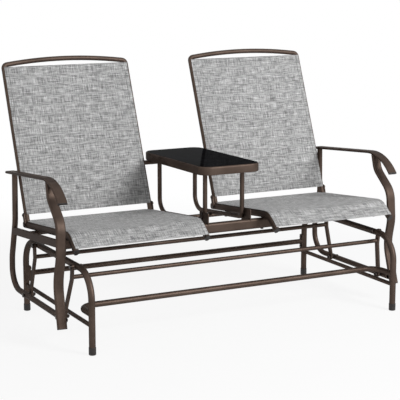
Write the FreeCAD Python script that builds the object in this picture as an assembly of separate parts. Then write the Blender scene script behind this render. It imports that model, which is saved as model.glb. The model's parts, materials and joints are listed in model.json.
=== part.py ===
import FreeCAD, Part
import math
import os

# Glider bench: two sling chairs and a glass table ride as one glider on four links
# that hang from a standing base. +X runs along the bench, -Y is the front, +Z is up.
# While it is drawn, Y is zero midway between the base legs and Z is zero on the ground.
# At the end everything moves so that the origin is the bottom centre of the whole.

# Clearances
WELD_GAP = 0.1          # between two welded or seated pieces
HOLE_FIT = 0.2          # round a fixed bolt
RUNNING_GAP = 0.3       # between faces that slide past each other
BUSH_FIT = 0.05         # round a bolt that turns in its bush
PLUG_FIT = 0.15         # round a plastic plug inside a tube

# Across the bench, from the chairs outward
CHAIR_X = 407.0         # middle of each chair
RAIL_HALF_SPREAD = 259.0
SIDE_OUTSET = 31.0      # from a chair's outer seat rail to the side frame's lower rail
POST_LEAN_IN = 7.0      # how far a rear post leans in from the lower rail to the armrest
ARMREST_OUTSET = 3.0    # middle of an armrest outside the lower rail
LOWER_SPACER = 5.0      # between a link and the lower rail
LINK_STEP = 19.5        # how far a link's lower end stands out past its upper end
UPPER_SPACER = 1.5      # between a link and the base's top rail

# Base: two bent end frames, joined by stretchers
LEG_HALF_SPREAD = 331.0
TOP_RAIL_Z = 292.5
END_BEND_R = 97.0
BASE_TUBE_D = 24.0
BASE_WALL = 1.5
SIDE_STRETCHER_D = 16.0
SIDE_STRETCHER_Z = 104.0
FRONT_STRETCHER_D = 22.0
FRONT_STRETCHER_Y = -208.0
FRONT_STRETCHER_Z = 146.0
FRONT_STRETCHER_BEND_R = 60.0
REAR_STRETCHER_D = 21.0
REAR_STRETCHER_Z = 150.0
THIN_WALL = 1.2         # of stretchers, seat tubes and table tubes
END_PLATE_WIDTH = 21.0
END_PLATE_HEIGHT = 60.0
END_PLATE_THICK = 4.0
END_PLATE_BOLT_RISE = 20.0
SADDLE_SHARE = 0.25     # share of a tube's diameter that a plate or spacer reaches round it
FOOT_CAP_WALL = 1.2
FOOT_CAP_HEIGHT = 28.0
FOOT_CAP_FLOOR = 5.0
FOOT_CAP_ROUND = 3.0    # of the lower rim
FOOT_CAP_LIP_ROUND = 1.0

# Fasteners
SMALL_BOLT_D = 6.0
SMALL_HEAD_D = 12.0
SMALL_HEAD_HEIGHT = 4.0
PIVOT_BOLT_D = 8.0
PIVOT_HEAD_D = 17.0
PIVOT_HEAD_HEIGHT = 5.5
NUT_FLATS = 13.0
NUT_HEIGHT = 6.5
NUT_OVERRUN = 3.0       # thread that shows past a nut
WASHER_D = 17.0
WASHER_THICK = 1.2
HEAD_ROUND = 1.2

# Links: flat bars, joggled outward from the base to the glider
UPPER_FRONT_Y = -200.0
UPPER_REAR_Y = 184.0
LOWER_FRONT_Y = -172.5
LOWER_REAR_Y = 174.5
LOWER_PIVOT_Z = 106.0
LINK_THICK = 8.0
LINK_WIDTH = 20.0
LINK_EYE_D = 14.0
JOGGLE_TOP_Z = 243.0
JOGGLE_BOTTOM_Z = 129.0
CROSSBAR_D = 16.0
FRONT_CROSSBAR_Z = 253.0
REAR_CROSSBAR_Z = 249.0
OPEN_EYE_BORE = 11.6    # wide bush at the front lower pivots, where the four-bar chain is opened

# Glider side frames
SIDE_TUBE_D = 22.0
SIDE_WALL = 1.5
HEEL_Y = 333.0
HEEL_BEND_R = 80.0
KNEE_Z = 225.0
KNEE_BEND_R = 100.0
WAIST_Y = 294.0
WAIST_Z = 370.0
WAIST_BEND_R = 150.0
POST_TOP_Y = 294.0

# Armrests: flat oval tubes that curl down in front
ARMREST_WIDTH = 38.0
ARMREST_THICK = 10.0
OVAL_WALL = 1.5
ARMREST_REAR_Y = 318.5
ARMREST_REAR_Z = 559.9
ARMREST_CREST_Y = -159.0
ARMREST_CREST_Z = 601.1
ARMREST_BEND_R = 190.0
ARMREST_TIP_Y = -225.0
ARMREST_TIP_Z = 528.0

# Arm legs: flat oval tubes below the front of each armrest, swung a little outward
ARM_LEG_WIDTH = 38.0
ARM_LEG_THICK = 14.0
ARM_LEG_TOP_Y = -105.0
ARM_LEG_SHOULDER_Y = -122.0
ARM_LEG_SHOULDER_Z = 528.0
ARM_LEG_SHOULDER_R = 60.0
ARM_LEG_HIP_Y = -211.0
ARM_LEG_HIP_Z = 452.0
ARM_LEG_HIP_R = 80.0
ARM_LEG_KNEE_Y = -217.0
ARM_LEG_KNEE_Z = 335.0
ARM_LEG_KNEE_R = 150.0
ARM_LEG_CALF_Y = -190.0
ARM_LEG_CALF_Z = 235.0
ARM_LEG_CALF_R = 150.0
ARM_LEG_TOE_Y = -235.0
ARM_LEG_TOE_Z = 80.0
ARM_LEG_SPLAY = 14.0    # how far the toe stands out past the top
SQUARE_OFF = 3.0        # widths that a squaring tool is drawn wider than its tube
ARM_RAIL_WIDTH = 15.0
ARM_RAIL_HEIGHT = 28.0
ARM_RAIL_ROUND = 3.0
ARM_RAIL_REAR_Y = 300.0
ARM_RAIL_REAR_Z = 332.5
ARM_RAIL_FRONT_Y = -215.0
ARM_RAIL_FRONT_Z = 376.5

# Seats: standing flat oval tubes at the sides, as wide as the tubes of the backs
SEAT_TUBE_WIDTH = 19.0
SEAT_TUBE_HEIGHT = 27.0
SEAT_REAR_Y = 254.0
SEAT_REAR_Z = 362.8
SEAT_CREST_Y = -200.0
SEAT_CREST_Z = 406.4
SEAT_BEND_R = 60.0
SEAT_TIP_Y = -262.0
SEAT_TIP_Z = 358.0
CAP_THICK = 3.0
CAP_PLUG_LENGTH = 12.0

# Cross rails
FRONT_RAIL_Y = -150.0
FRONT_RAIL_DEPTH = 24.0
FRONT_RAIL_HEIGHT = 40.0
FRONT_RAIL_ROUND = 9.0
REAR_RAIL_Y = 140.0
REAR_RAIL_D = 17.0

# Backs: one bent tube each, arched over the top
BACK_TUBE_D = 19.0
BACK_LEAN = 21.8        # degrees from upright
BACK_CORNER_Z = 957.0
BACK_CORNER_R = 16.0
BACK_ARCH_RISE = 17.8
BACK_SIDE_Y = 243.0     # where the side tubes pass BACK_SIDE_Z
BACK_SIDE_Z = 410.0
BRACKET_WIDTH = 18.0
BRACKET_THICK = 3.0
BOLT_PAST_MIDDLE = 2.0  # how far a cross bolt runs past a tube's middle line
BRACKET_TOP_Z = 402.0
BRACKET_LOW_Y = 229.0

# Slings
SLING_THICK = 5.0
SLING_EDGE_ROUND = 1.0
SLING_GAP = 0.3         # between a sling and the tubes that hold it
BACK_SLING_LOW_Z = 402.0
BACK_SLING_TOP_Z = 939.0
SEAT_SLING_REAR_GAP = 8.0
SEAT_SLING_TIP_GAP = 4.0

# Table
TABLE_WIDTH = 256.0
TABLE_LENGTH = 535.0
TABLE_MIDDLE_Y = 79.5
TABLE_TOP_Z = 603.0
TABLE_TILT = 0.9        # degrees, the front higher
TABLE_CORNER_R = 45.0
APRON_HEIGHT = 33.0
APRON_THICK = 16.0
APRON_LIP = 4.0
GLASS_THICK = 5.0
GLASS_GAP = 0.6
PAD_THICK = 1.0
PAD_SIZE = 10.0
TABLE_BAR_WIDTH = 25.0
TABLE_BAR_THICK = 12.0
TABLE_LEG_X = 80.0
TABLE_LEG_D = 17.5
TABLE_LEG_REAR_Y = 283.0
TABLE_LEG_FRONT_Y = -113.0
TABLE_REAR_BEND_R = 55.0
TABLE_FRONT_BEND_R = 22.0
SADDLE_DEPTH = 3.0      # how deep the table legs are notched over the rear cross rail
TABLE_REAR_BAR_D = 18.0
CLIP_THICK = 4.0
CLIP_WIDTH = 70.0
CLIP_TOP_Z = 425.0
CLIP_LOW_Z = 356.0
CLIP_BOLT_LOW_Z = 400.0
CLIP_BOLT_TOP_Z = 416.0
CLIP_BOLT_SHARE = 0.75  # share of the table leg's diameter that a clip bolt enters

# Studs between the armrests and the backs
ARM_STUD_OVERRUN = 8.0  # how far a stud runs into the armrest
ARM_SPACER_D = 9.0

X_AXIS = FreeCAD.Vector(1, 0, 0)
Y_AXIS = FreeCAD.Vector(0, 1, 0)
Z_AXIS = FreeCAD.Vector(0, 0, 1)
ORIGIN = FreeCAD.Vector(0, 0, 0)
SIDES = (("left", -1), ("right", 1))
TINY = 1e-6
SPARE = 1.0             # how far a cutting tool reaches past what it cuts


def vec(x, y, z):
    """A point or a direction."""
    return FreeCAD.Vector(x, y, z)


def unit(vector):
    """The direction of a vector."""
    return vector * (1.0 / vector.Length)


def bent_path(points, radii):
    """Straight runs through the points, joined by tangent arcs at the inner points."""
    edges = []
    start = points[0]
    for before, corner, after, radius in zip(points, points[1:], points[2:], radii):
        inward = unit(before - corner)
        outward = unit(after - corner)
        half_turn = (math.pi - inward.getAngle(outward)) / 2
        reach = radius * math.tan(half_turn)
        arc_start = corner + inward * reach
        arc_end = corner + outward * reach
        bulge = radius / math.cos(half_turn) - radius
        middle = corner + unit(inward + outward) * bulge
        if (arc_start - start).Length > TINY:
            edges.append(Part.makeLine(start, arc_start))
        edges.append(Part.Arc(arc_start, middle, arc_end).toShape())
        start = arc_end
    edges.append(Part.makeLine(start, points[-1]))
    return Part.Wire(edges)


def rounded_wire(centre, across, up, width, height, corner):
    """A rectangle with round corners, or a flat oval where the corner is half the height."""
    flat_x = width / 2 - corner
    flat_y = height / 2 - corner
    edges = []
    ends = []
    for sign_x, sign_y in ((1, 1), (-1, 1), (-1, -1), (1, -1)):
        hub = centre + across * (sign_x * flat_x) + up * (sign_y * flat_y)
        along_x = across * (sign_x * corner)
        along_y = up * (sign_y * corner)
        diagonal = (along_x + along_y) * math.sqrt(0.5)
        first, last = (along_x, along_y) if sign_x == sign_y else (along_y, along_x)
        edges.append(Part.Arc(hub + first, hub + diagonal, hub + last).toShape())
        ends.append((hub + first, hub + last))
    for index, (_, end) in enumerate(ends):
        start = ends[(index + 1) % len(ends)][0]
        if (end - start).Length > TINY:
            edges.append(Part.makeLine(end, start))
    return Part.Wire(Part.__sortEdges__(edges))


class Tube:
    """A tube of one section, bent along straight runs and tangent arcs.

    A round tube has only a width. Any other has a height and a corner radius as well, and
    its width lies along the given direction.
    """

    def __init__(self, points, radii, wall, width, height=None, corner=None, across=X_AXIS):
        self.points = points
        self.path = bent_path(points, radii)
        self.wall = wall
        self.width = width
        self.height = height
        self.corner = corner
        self.across = across

    def filled(self, grow=0.0):
        """The tube as a solid bar, larger by grow all round."""
        tangent = unit(self.points[1] - self.points[0])
        if self.height is None:
            circle = Part.makeCircle(self.width / 2 + grow, self.points[0], tangent)
            section = Part.Wire([circle])
        else:
            up = unit(tangent.cross(self.across))
            section = rounded_wire(self.points[0], self.across, up, self.width + 2 * grow,
                                   self.height + 2 * grow, self.corner + grow)
        return self.path.makePipeShell([section], True, False)

    def hollow(self):
        """The tube with its bore."""
        return self.filled().cut(self.filled(-self.wall))


def largest(shape):
    """The largest solid of a shape, which drops offcuts."""
    return max(shape.Solids, key=lambda solid: solid.Volume)


def cut_all(shape, tools):
    """The shape less each of the tools."""
    for tool in tools:
        shape = shape.cut(tool)
    return shape


def coped(tube, neighbours, tools=()):
    """A hollow tube whose ends are shaped to the tubes that it meets."""
    shape = cut_all(tube.hollow(), [other.filled(WELD_GAP) for other in neighbours])
    return cut_all(largest(shape), tools)


def group(solids):
    """Separate solids of one node."""
    return Part.makeCompound(solids)


def cylinder(radius, start, direction, length):
    """A solid cylinder from a point along a direction."""
    return Part.makeCylinder(radius, length, start, direction)


def ring(outer_d, inner_d, start, direction, length):
    """A short sleeve or a washer."""
    outer = cylinder(outer_d / 2, start, direction, length)
    return outer.cut(cylinder(inner_d / 2, start, direction, length))


def bolt(seat, outward, shank_length, shank_d, head_d, head_height):
    """A button head outside the seat, with its shank running back through it."""
    head = cylinder(head_d / 2, seat, outward, head_height)
    rim = [edge for edge in head.Edges if edge.Curve.TypeId == "Part::GeomCircle"
           and (edge.CenterOfMass - seat).dot(outward) > head_height / 2]
    head = head.makeFillet(HEAD_ROUND, rim)
    return head.fuse(cylinder(shank_d / 2, seat, outward * -1, shank_length)).removeSplitter()


def small_bolt(seat, outward, shank_length):
    """A bolt that holds two tubes or a bracket."""
    return bolt(seat, outward, shank_length, SMALL_BOLT_D, SMALL_HEAD_D, SMALL_HEAD_HEIGHT)


def bolt_hole(seat, outward, shank_length, shank_d=SMALL_BOLT_D):
    """What a bolt's shank needs cut away, from a little outside its seat."""
    start = seat + outward * SPARE
    return cylinder(shank_d / 2 + HOLE_FIT, start, outward * -1, shank_length + 2 * SPARE)


def hex_nut(seat, outward):
    """A nut whose near face is on the seat, bored for a pivot bolt."""
    corner_r = NUT_FLATS / math.sqrt(3)
    points = []
    for index in range(7):
        angle = index * math.pi / 3
        points.append(seat + vec(0, corner_r * math.cos(angle), corner_r * math.sin(angle)))
    body = Part.Face(Part.makePolygon(points)).extrude(outward * NUT_HEIGHT)
    bore = cylinder(PIVOT_BOLT_D / 2 + BUSH_FIT, seat - outward * SPARE, outward,
                    NUT_HEIGHT + 2 * SPARE)
    return body.cut(bore)


def line_y(z, low, high):
    """Y at a height on the straight line between two (y, z) points."""
    share = (z - low[1]) / (high[1] - low[1])
    return low[0] + share * (high[0] - low[0])


def line_z(y, first, last):
    """Z at a depth on the straight line between two (y, z) points."""
    share = (y - first[0]) / (last[0] - first[0])
    return first[1] + share * (last[1] - first[1])


# Lines that several pieces follow

SIDE_FRAME_X = CHAIR_X + RAIL_HALF_SPREAD + SIDE_OUTSET
ARMREST_X = SIDE_FRAME_X + ARMREST_OUTSET
LINK_BOTTOM_X = SIDE_FRAME_X - SIDE_TUBE_D / 2 - LOWER_SPACER - LINK_THICK / 2
LINK_TOP_X = LINK_BOTTOM_X - LINK_STEP
END_FRAME_X = LINK_TOP_X - LINK_THICK / 2 - UPPER_SPACER - BASE_TUBE_D / 2
SEAT_REAR = (SEAT_REAR_Y, SEAT_REAR_Z)
SEAT_CREST = (SEAT_CREST_Y, SEAT_CREST_Z)
SEAT_SLOPE = math.atan2(SEAT_CREST_Z - SEAT_REAR_Z, SEAT_REAR_Y - SEAT_CREST_Y)
LEAN = math.radians(BACK_LEAN)
BACK_UP = vec(0, math.sin(LEAN), math.cos(LEAN))
BACK_FORWARD = vec(0, -math.cos(LEAN), math.sin(LEAN))


def back_y(z):
    """Y of the back's side tubes at a height."""
    return BACK_SIDE_Y + (z - BACK_SIDE_Z) * math.tan(LEAN)


def back_foot():
    """Where the middle lines of a back tube and its seat rail cross, as (y, z)."""
    rise = math.tan(SEAT_SLOPE)
    height = SEAT_REAR_Z + (SEAT_REAR_Y - back_y(SEAT_REAR_Z)) * rise
    return back_y(height), height


def armrest_z(y):
    """Height of an armrest's middle line behind its bend."""
    return line_z(y, (ARMREST_REAR_Y, ARMREST_REAR_Z), (ARMREST_CREST_Y, ARMREST_CREST_Z))


def seat_underside(y):
    """Height of the seat rails' lower edge."""
    return line_z(y, SEAT_REAR, SEAT_CREST) - SEAT_TUBE_HEIGHT / 2 / math.cos(SEAT_SLOPE)


FRONT_RAIL_TOP_Z = seat_underside(FRONT_RAIL_Y + FRONT_RAIL_DEPTH / 2) - WELD_GAP
REAR_RAIL_Z = seat_underside(REAR_RAIL_Y) - REAR_RAIL_D / 2 - WELD_GAP


# Base

def end_frame(side):
    """The bent tube of one end: two legs and the rail between them."""
    x = side * END_FRAME_X
    points = [vec(x, -LEG_HALF_SPREAD, FOOT_CAP_FLOOR), vec(x, -LEG_HALF_SPREAD, TOP_RAIL_Z),
              vec(x, LEG_HALF_SPREAD, TOP_RAIL_Z), vec(x, LEG_HALF_SPREAD, FOOT_CAP_FLOOR)]
    return Tube(points, (END_BEND_R, END_BEND_R), BASE_WALL, BASE_TUBE_D)


def front_stretcher_tube():
    """The bar across the front, bent forward to the front legs at its ends."""
    z = FRONT_STRETCHER_Z
    points = [vec(-END_FRAME_X, -LEG_HALF_SPREAD, z), vec(-END_FRAME_X, FRONT_STRETCHER_Y, z),
              vec(END_FRAME_X, FRONT_STRETCHER_Y, z), vec(END_FRAME_X, -LEG_HALF_SPREAD, z)]
    return Tube(points, (FRONT_STRETCHER_BEND_R, FRONT_STRETCHER_BEND_R), THIN_WALL,
                FRONT_STRETCHER_D)


def side_stretcher(side):
    """The low bar between the two legs of an end."""
    x = side * END_FRAME_X
    points = [vec(x, -LEG_HALF_SPREAD, SIDE_STRETCHER_Z), vec(x, LEG_HALF_SPREAD, SIDE_STRETCHER_Z)]
    return coped(Tube(points, (), THIN_WALL, SIDE_STRETCHER_D), [end_frame(side)])


def end_plate_face(side):
    """X of the outer face of a rear stretcher's end plate, towards the middle."""
    return side * (END_FRAME_X - BASE_TUBE_D / 2 - END_PLATE_THICK)


def rear_stretcher():
    """The bar between the rear legs, from end plate to end plate."""
    end_x = abs(end_plate_face(1)) - WELD_GAP
    points = [vec(-end_x, LEG_HALF_SPREAD, REAR_STRETCHER_Z),
              vec(end_x, LEG_HALF_SPREAD, REAR_STRETCHER_Z)]
    return Tube(points, (), THIN_WALL, REAR_STRETCHER_D).hollow()


def end_plate_bolt_seats():
    """Seat and outward direction of each bolt in the end plates."""
    seats = []
    for _, side in SIDES:
        for rise in (-END_PLATE_BOLT_RISE, END_PLATE_BOLT_RISE):
            seat = vec(end_plate_face(side), LEG_HALF_SPREAD, REAR_STRETCHER_Z + rise)
            seats.append((side, seat, X_AXIS * -side))
    return seats


def end_plate_shank():
    """Length of an end plate's bolt: through the plate and the near wall of the leg."""
    return END_PLATE_THICK + BASE_TUBE_D / 2


def stretcher_end_plates():
    """Plates that saddle the rear legs and carry the rear stretcher."""
    plates = []
    for _, side in SIDES:
        reach = END_PLATE_THICK + BASE_TUBE_D * SADDLE_SHARE
        inner = end_plate_face(side)
        low_x = min(inner, inner + side * reach)
        block = Part.makeBox(reach, END_PLATE_WIDTH, END_PLATE_HEIGHT,
                             vec(low_x, LEG_HALF_SPREAD - END_PLATE_WIDTH / 2,
                                 REAR_STRETCHER_Z - END_PLATE_HEIGHT / 2))
        tools = [end_frame(side).filled(WELD_GAP)]
        tools += [bolt_hole(seat, outward, end_plate_shank())
                  for owner, seat, outward in end_plate_bolt_seats() if owner == side]
        plates.append(largest(cut_all(block, tools)))
    return group(plates)


def stretcher_bolts():
    """Bolts that hold the end plates to the rear legs."""
    return group([small_bolt(seat, outward, end_plate_shank())
                  for _, seat, outward in end_plate_bolt_seats()])


def foot_caps():
    """Plastic cups under the four legs."""
    caps = []
    for _, side in SIDES:
        for y in (-LEG_HALF_SPREAD, LEG_HALF_SPREAD):
            foot = vec(side * END_FRAME_X, y, 0)
            socket_r = BASE_TUBE_D / 2 + WELD_GAP
            cup = cylinder(socket_r + FOOT_CAP_WALL, foot, Z_AXIS, FOOT_CAP_HEIGHT)
            rims = [edge for edge in cup.Edges if edge.Curve.TypeId == "Part::GeomCircle"]
            rims.sort(key=lambda edge: edge.CenterOfMass.z)
            cup = cup.makeFillet(FOOT_CAP_ROUND, rims[:1])
            lip = [edge for edge in cup.Edges if edge.Curve.TypeId == "Part::GeomCircle"
                   and edge.CenterOfMass.z > FOOT_CAP_HEIGHT - TINY]
            cup = cup.makeFillet(FOOT_CAP_LIP_ROUND, lip)
            socket = cylinder(socket_r, foot + Z_AXIS * FOOT_CAP_FLOOR, Z_AXIS,
                              FOOT_CAP_HEIGHT)
            caps.append(cup.cut(socket))
    return group(caps)


# Pivots. Each stack runs along X from its carrier: spacer, link with its bush, washer.

UPPER_PIVOTS = (("front", UPPER_FRONT_Y), ("rear", UPPER_REAR_Y))
LOWER_PIVOTS = (("front", LOWER_FRONT_Y), ("rear", LOWER_REAR_Y))
RAIL_INNER_X = END_FRAME_X - BASE_TUBE_D / 2
RAIL_OUTER_X = END_FRAME_X + BASE_TUBE_D / 2
LINK_TOP_INNER_X = LINK_TOP_X - LINK_THICK / 2
LINK_TOP_OUTER_X = LINK_TOP_X + LINK_THICK / 2
LINK_BOTTOM_INNER_X = LINK_BOTTOM_X - LINK_THICK / 2
LINK_BOTTOM_OUTER_X = LINK_BOTTOM_X + LINK_THICK / 2
SIDE_INNER_X = SIDE_FRAME_X - SIDE_TUBE_D / 2
SIDE_OUTER_X = SIDE_FRAME_X + SIDE_TUBE_D / 2
UPPER_HEAD_X = LINK_TOP_OUTER_X + RUNNING_GAP + WASHER_THICK
LOWER_NUT_X = LINK_BOTTOM_INNER_X - RUNNING_GAP - WASHER_THICK
PIVOT_BORE_D = PIVOT_BOLT_D + 2 * HOLE_FIT


def upper_pivot_points(side):
    """The two pivot centres of one end frame, in its middle plane."""
    return [vec(side * END_FRAME_X, y, TOP_RAIL_Z) for _, y in UPPER_PIVOTS]


def lower_pivot_points(side):
    """The two pivot centres of one glider side, in its middle plane."""
    return [vec(side * SIDE_FRAME_X, y, LOWER_PIVOT_Z) for _, y in LOWER_PIVOTS]


def through_holes(points, tube_d):
    """Holes across a tube for pivot bolts."""
    return [cylinder(PIVOT_BORE_D / 2, point - X_AXIS * tube_d, X_AXIS, 2 * tube_d)
            for point in points]


def base_frame(side):
    """One end frame, drilled for its pivots and its end plate bolts."""
    shape = cut_all(end_frame(side).hollow(),
                    through_holes(upper_pivot_points(side), BASE_TUBE_D))
    tools = [bolt_hole(seat, outward, end_plate_shank())
             for owner, seat, outward in end_plate_bolt_seats() if owner == side]
    return largest(cut_all(shape, tools))


def at_x(point, x):
    """The same place at another X."""
    return vec(x, point.y, point.z)


def upper_pivot_bolts():
    """Bolts through the top rails, heads outside the links."""
    length = UPPER_HEAD_X - RAIL_INNER_X + NUT_HEIGHT + WELD_GAP + NUT_OVERRUN
    return group([bolt(at_x(point, side * UPPER_HEAD_X), X_AXIS * side, length, PIVOT_BOLT_D,
                       PIVOT_HEAD_D, PIVOT_HEAD_HEIGHT)
                  for _, side in SIDES for point in upper_pivot_points(side)])


def upper_pivot_nuts():
    """Nuts on the inner side of the top rails."""
    return group([hex_nut(at_x(point, side * (RAIL_INNER_X - WELD_GAP)), X_AXIS * -side)
                  for _, side in SIDES for point in upper_pivot_points(side)])


def upper_pivot_washers():
    """Spacers between rail and link, and washers under the bolt heads."""
    solids = []
    for _, side in SIDES:
        carrier = end_frame(side).filled(WELD_GAP)
        outward = X_AXIS * side
        for point in upper_pivot_points(side):
            start_x = RAIL_OUTER_X - BASE_TUBE_D * SADDLE_SHARE
            length = LINK_TOP_INNER_X - RUNNING_GAP - start_x
            spacer = ring(WASHER_D, PIVOT_BORE_D, at_x(point, side * start_x), outward, length)
            solids.append(largest(spacer.cut(carrier)))
            washer_x = LINK_TOP_OUTER_X + RUNNING_GAP
            solids.append(ring(WASHER_D, PIVOT_BORE_D, at_x(point, side * washer_x), outward,
                               WASHER_THICK - WELD_GAP))
    return group(solids)


def lower_pivot_bolts():
    """Bolts through the side frames' lower rails, heads outside."""
    length = SIDE_OUTER_X - LOWER_NUT_X + NUT_HEIGHT + 2 * WELD_GAP + NUT_OVERRUN
    return group([bolt(at_x(point, side * (SIDE_OUTER_X + WELD_GAP)), X_AXIS * side, length,
                       PIVOT_BOLT_D, PIVOT_HEAD_D, PIVOT_HEAD_HEIGHT)
                  for _, side in SIDES for point in lower_pivot_points(side)])


def lower_pivot_nuts():
    """Nuts on the inner side of the links."""
    return group([hex_nut(at_x(point, side * (LOWER_NUT_X - WELD_GAP)), X_AXIS * -side)
                  for _, side in SIDES for point in lower_pivot_points(side)])


def lower_pivot_washers():
    """Spacers between link and lower rail, and washers under the nuts."""
    solids = []
    for _, side in SIDES:
        carrier = side_tube(side).filled(WELD_GAP)
        outward = X_AXIS * side
        for point in lower_pivot_points(side):
            start_x = LINK_BOTTOM_OUTER_X + RUNNING_GAP
            length = SIDE_INNER_X + SIDE_TUBE_D * SADDLE_SHARE - start_x
            spacer = ring(WASHER_D, PIVOT_BORE_D, at_x(point, side * start_x), outward, length)
            solids.append(largest(spacer.cut(carrier)))
            solids.append(ring(WASHER_D, PIVOT_BORE_D, at_x(point, side * LOWER_NUT_X), outward,
                               WASHER_THICK))
    return group(solids)


# Links

def link_solid(side, upper_y, lower_y):
    """A flat bar with round ends: its outline seen from the side, cut to its joggled section."""
    eye_r = LINK_WIDTH / 2
    upper = vec(0, upper_y, TOP_RAIL_Z)
    lower = vec(0, lower_y, LOWER_PIVOT_Z)
    along = unit(upper - lower)
    across = X_AXIS.cross(along)
    outline = rounded_wire((upper + lower) * 0.5, along, across, (upper - lower).Length + LINK_WIDTH,
                           LINK_WIDTH, eye_r)
    reach = SIDE_FRAME_X
    plate = Part.Face(outline).extrude(X_AXIS * (side * reach))
    top_z = TOP_RAIL_Z + LINK_WIDTH
    low_z = LOWER_PIVOT_Z - LINK_WIDTH
    inner = [(LINK_TOP_INNER_X, top_z), (LINK_TOP_INNER_X, JOGGLE_TOP_Z),
             (LINK_BOTTOM_INNER_X, JOGGLE_BOTTOM_Z), (LINK_BOTTOM_INNER_X, low_z)]
    section = inner + [(x + LINK_THICK, z) for x, z in reversed(inner)]
    low_y = min(upper_y, lower_y) - LINK_WIDTH
    points = [vec(side * x, low_y, z) for x, z in section]
    points.append(points[0])
    depth = abs(upper_y - lower_y) + 2 * LINK_WIDTH
    bar = Part.Face(Part.makePolygon(points)).extrude(Y_AXIS * depth)
    shape = plate.common(bar)
    eyes = [cylinder(LINK_EYE_D / 2, centre, X_AXIS * side, reach) for centre in (upper, lower)]
    return largest(cut_all(shape, eyes))


def crossbar(upper_y, lower_y, z):
    """The rod between the left and right links of a pair."""
    y = line_y(z, (lower_y, LOWER_PIVOT_Z), (upper_y, TOP_RAIL_Z))
    end_x = LINK_TOP_INNER_X - WELD_GAP
    return Tube([vec(-end_x, y, z), vec(end_x, y, z)], (), THIN_WALL, CROSSBAR_D).hollow()


def link_bushes(upper_y, lower_y, lower_bore_d):
    """Nylon bushes in the eyes of a pair of links."""
    bushes = []
    outer_d = LINK_EYE_D - 2 * BUSH_FIT
    running_d = PIVOT_BOLT_D + 2 * BUSH_FIT
    for _, side in SIDES:
        upper = vec(side * LINK_TOP_INNER_X, upper_y, TOP_RAIL_Z)
        lower = vec(side * LINK_BOTTOM_INNER_X, lower_y, LOWER_PIVOT_Z)
        bushes.append(ring(outer_d, running_d, upper, X_AXIS * side, LINK_THICK))
        bushes.append(ring(outer_d, lower_bore_d, lower, X_AXIS * side, LINK_THICK))
    return group(bushes)


# Glider side frames

def splayed(shape, side):
    """An arm leg turned outward about its top."""
    drop = ARMREST_REAR_Z - ARM_LEG_TOE_Z
    angle = math.degrees(math.atan2(ARM_LEG_SPLAY, drop))
    turned = shape.copy()
    turned.rotate(vec(side * ARMREST_X, 0, ARMREST_REAR_Z), Y_AXIS, -side * angle)
    return turned


def arm_leg_tube(side, width=ARM_LEG_WIDTH):
    """The bent oval tube from an armrest down to its toe, before it is splayed."""
    x = side * ARMREST_X
    places = [(ARM_LEG_TOP_Y, armrest_z(ARM_LEG_TOP_Y)), (ARM_LEG_SHOULDER_Y, ARM_LEG_SHOULDER_Z),
              (ARM_LEG_HIP_Y, ARM_LEG_HIP_Z), (ARM_LEG_KNEE_Y, ARM_LEG_KNEE_Z),
              (ARM_LEG_CALF_Y, ARM_LEG_CALF_Z), (ARM_LEG_TOE_Y, ARM_LEG_TOE_Z)]
    radii = (ARM_LEG_SHOULDER_R, ARM_LEG_HIP_R, ARM_LEG_KNEE_R, ARM_LEG_CALF_R)
    return Tube([vec(x, y, z) for y, z in places], radii, OVAL_WALL, width, ARM_LEG_THICK,
                ARM_LEG_THICK / 2)


def armrest_tube(side, width=ARMREST_WIDTH):
    """The flat oval tube of one armrest."""
    x = side * ARMREST_X
    points = [vec(x, ARMREST_REAR_Y, ARMREST_REAR_Z), vec(x, ARMREST_CREST_Y, ARMREST_CREST_Z),
              vec(x, ARMREST_TIP_Y, ARMREST_TIP_Z)]
    return Tube(points, (ARMREST_BEND_R,), OVAL_WALL, width, ARMREST_THICK, ARMREST_THICK / 2)


def arm_leg_wall(side):
    """A leg drawn far wider than it is, which squares off whatever meets its rear face."""
    return splayed(arm_leg_tube(side, SQUARE_OFF * ARM_LEG_WIDTH).filled(WELD_GAP), side)


def armrest_wall(side):
    """An armrest drawn far wider than it is, which squares off whatever carries it."""
    return armrest_tube(side, SQUARE_OFF * ARMREST_WIDTH).filled(WELD_GAP)


def post_point(side, y, z):
    """A point on a side tube, which leans in above its lower rail."""
    share = (z - LOWER_PIVOT_Z) / (ARMREST_REAR_Z - LOWER_PIVOT_Z)
    return vec(side * (SIDE_FRAME_X - POST_LEAN_IN * share), y, z)


def side_tube(side):
    """The tube of one side: lower rail, heel bend and rear post."""
    places = [(ARM_LEG_TOE_Y, LOWER_PIVOT_Z), (HEEL_Y, LOWER_PIVOT_Z), (HEEL_Y, KNEE_Z),
              (WAIST_Y, WAIST_Z), (POST_TOP_Y, armrest_z(POST_TOP_Y))]
    return Tube([post_point(side, y, z) for y, z in places],
                (HEEL_BEND_R, KNEE_BEND_R, WAIST_BEND_R), SIDE_WALL, SIDE_TUBE_D)


def side_frame(side):
    """The side tube, met by the arm leg in front and by the armrest on top."""
    shape = side_tube(side).hollow().cut(arm_leg_wall(side))
    shape = largest(shape.cut(armrest_wall(side)))
    return largest(cut_all(shape, through_holes(lower_pivot_points(side), SIDE_TUBE_D)))


def arm_leg(side):
    """An arm leg, shaped on top to the armrest that it carries."""
    shape = splayed(arm_leg_tube(side).hollow(), side)
    return largest(shape.cut(armrest_wall(side)))


def arm_rail(side):
    """The box tube at seat height, from arm leg to rear post."""
    x = side * SIDE_FRAME_X
    points = [vec(x, ARM_RAIL_REAR_Y, ARM_RAIL_REAR_Z), vec(x, ARM_RAIL_FRONT_Y, ARM_RAIL_FRONT_Z)]
    tube = Tube(points, (), THIN_WALL, ARM_RAIL_WIDTH, ARM_RAIL_HEIGHT, ARM_RAIL_ROUND)
    shape = tube.hollow().cut(arm_leg_wall(side))
    return largest(shape.cut(side_tube(side).filled(WELD_GAP)))


# Cross rails

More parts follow.
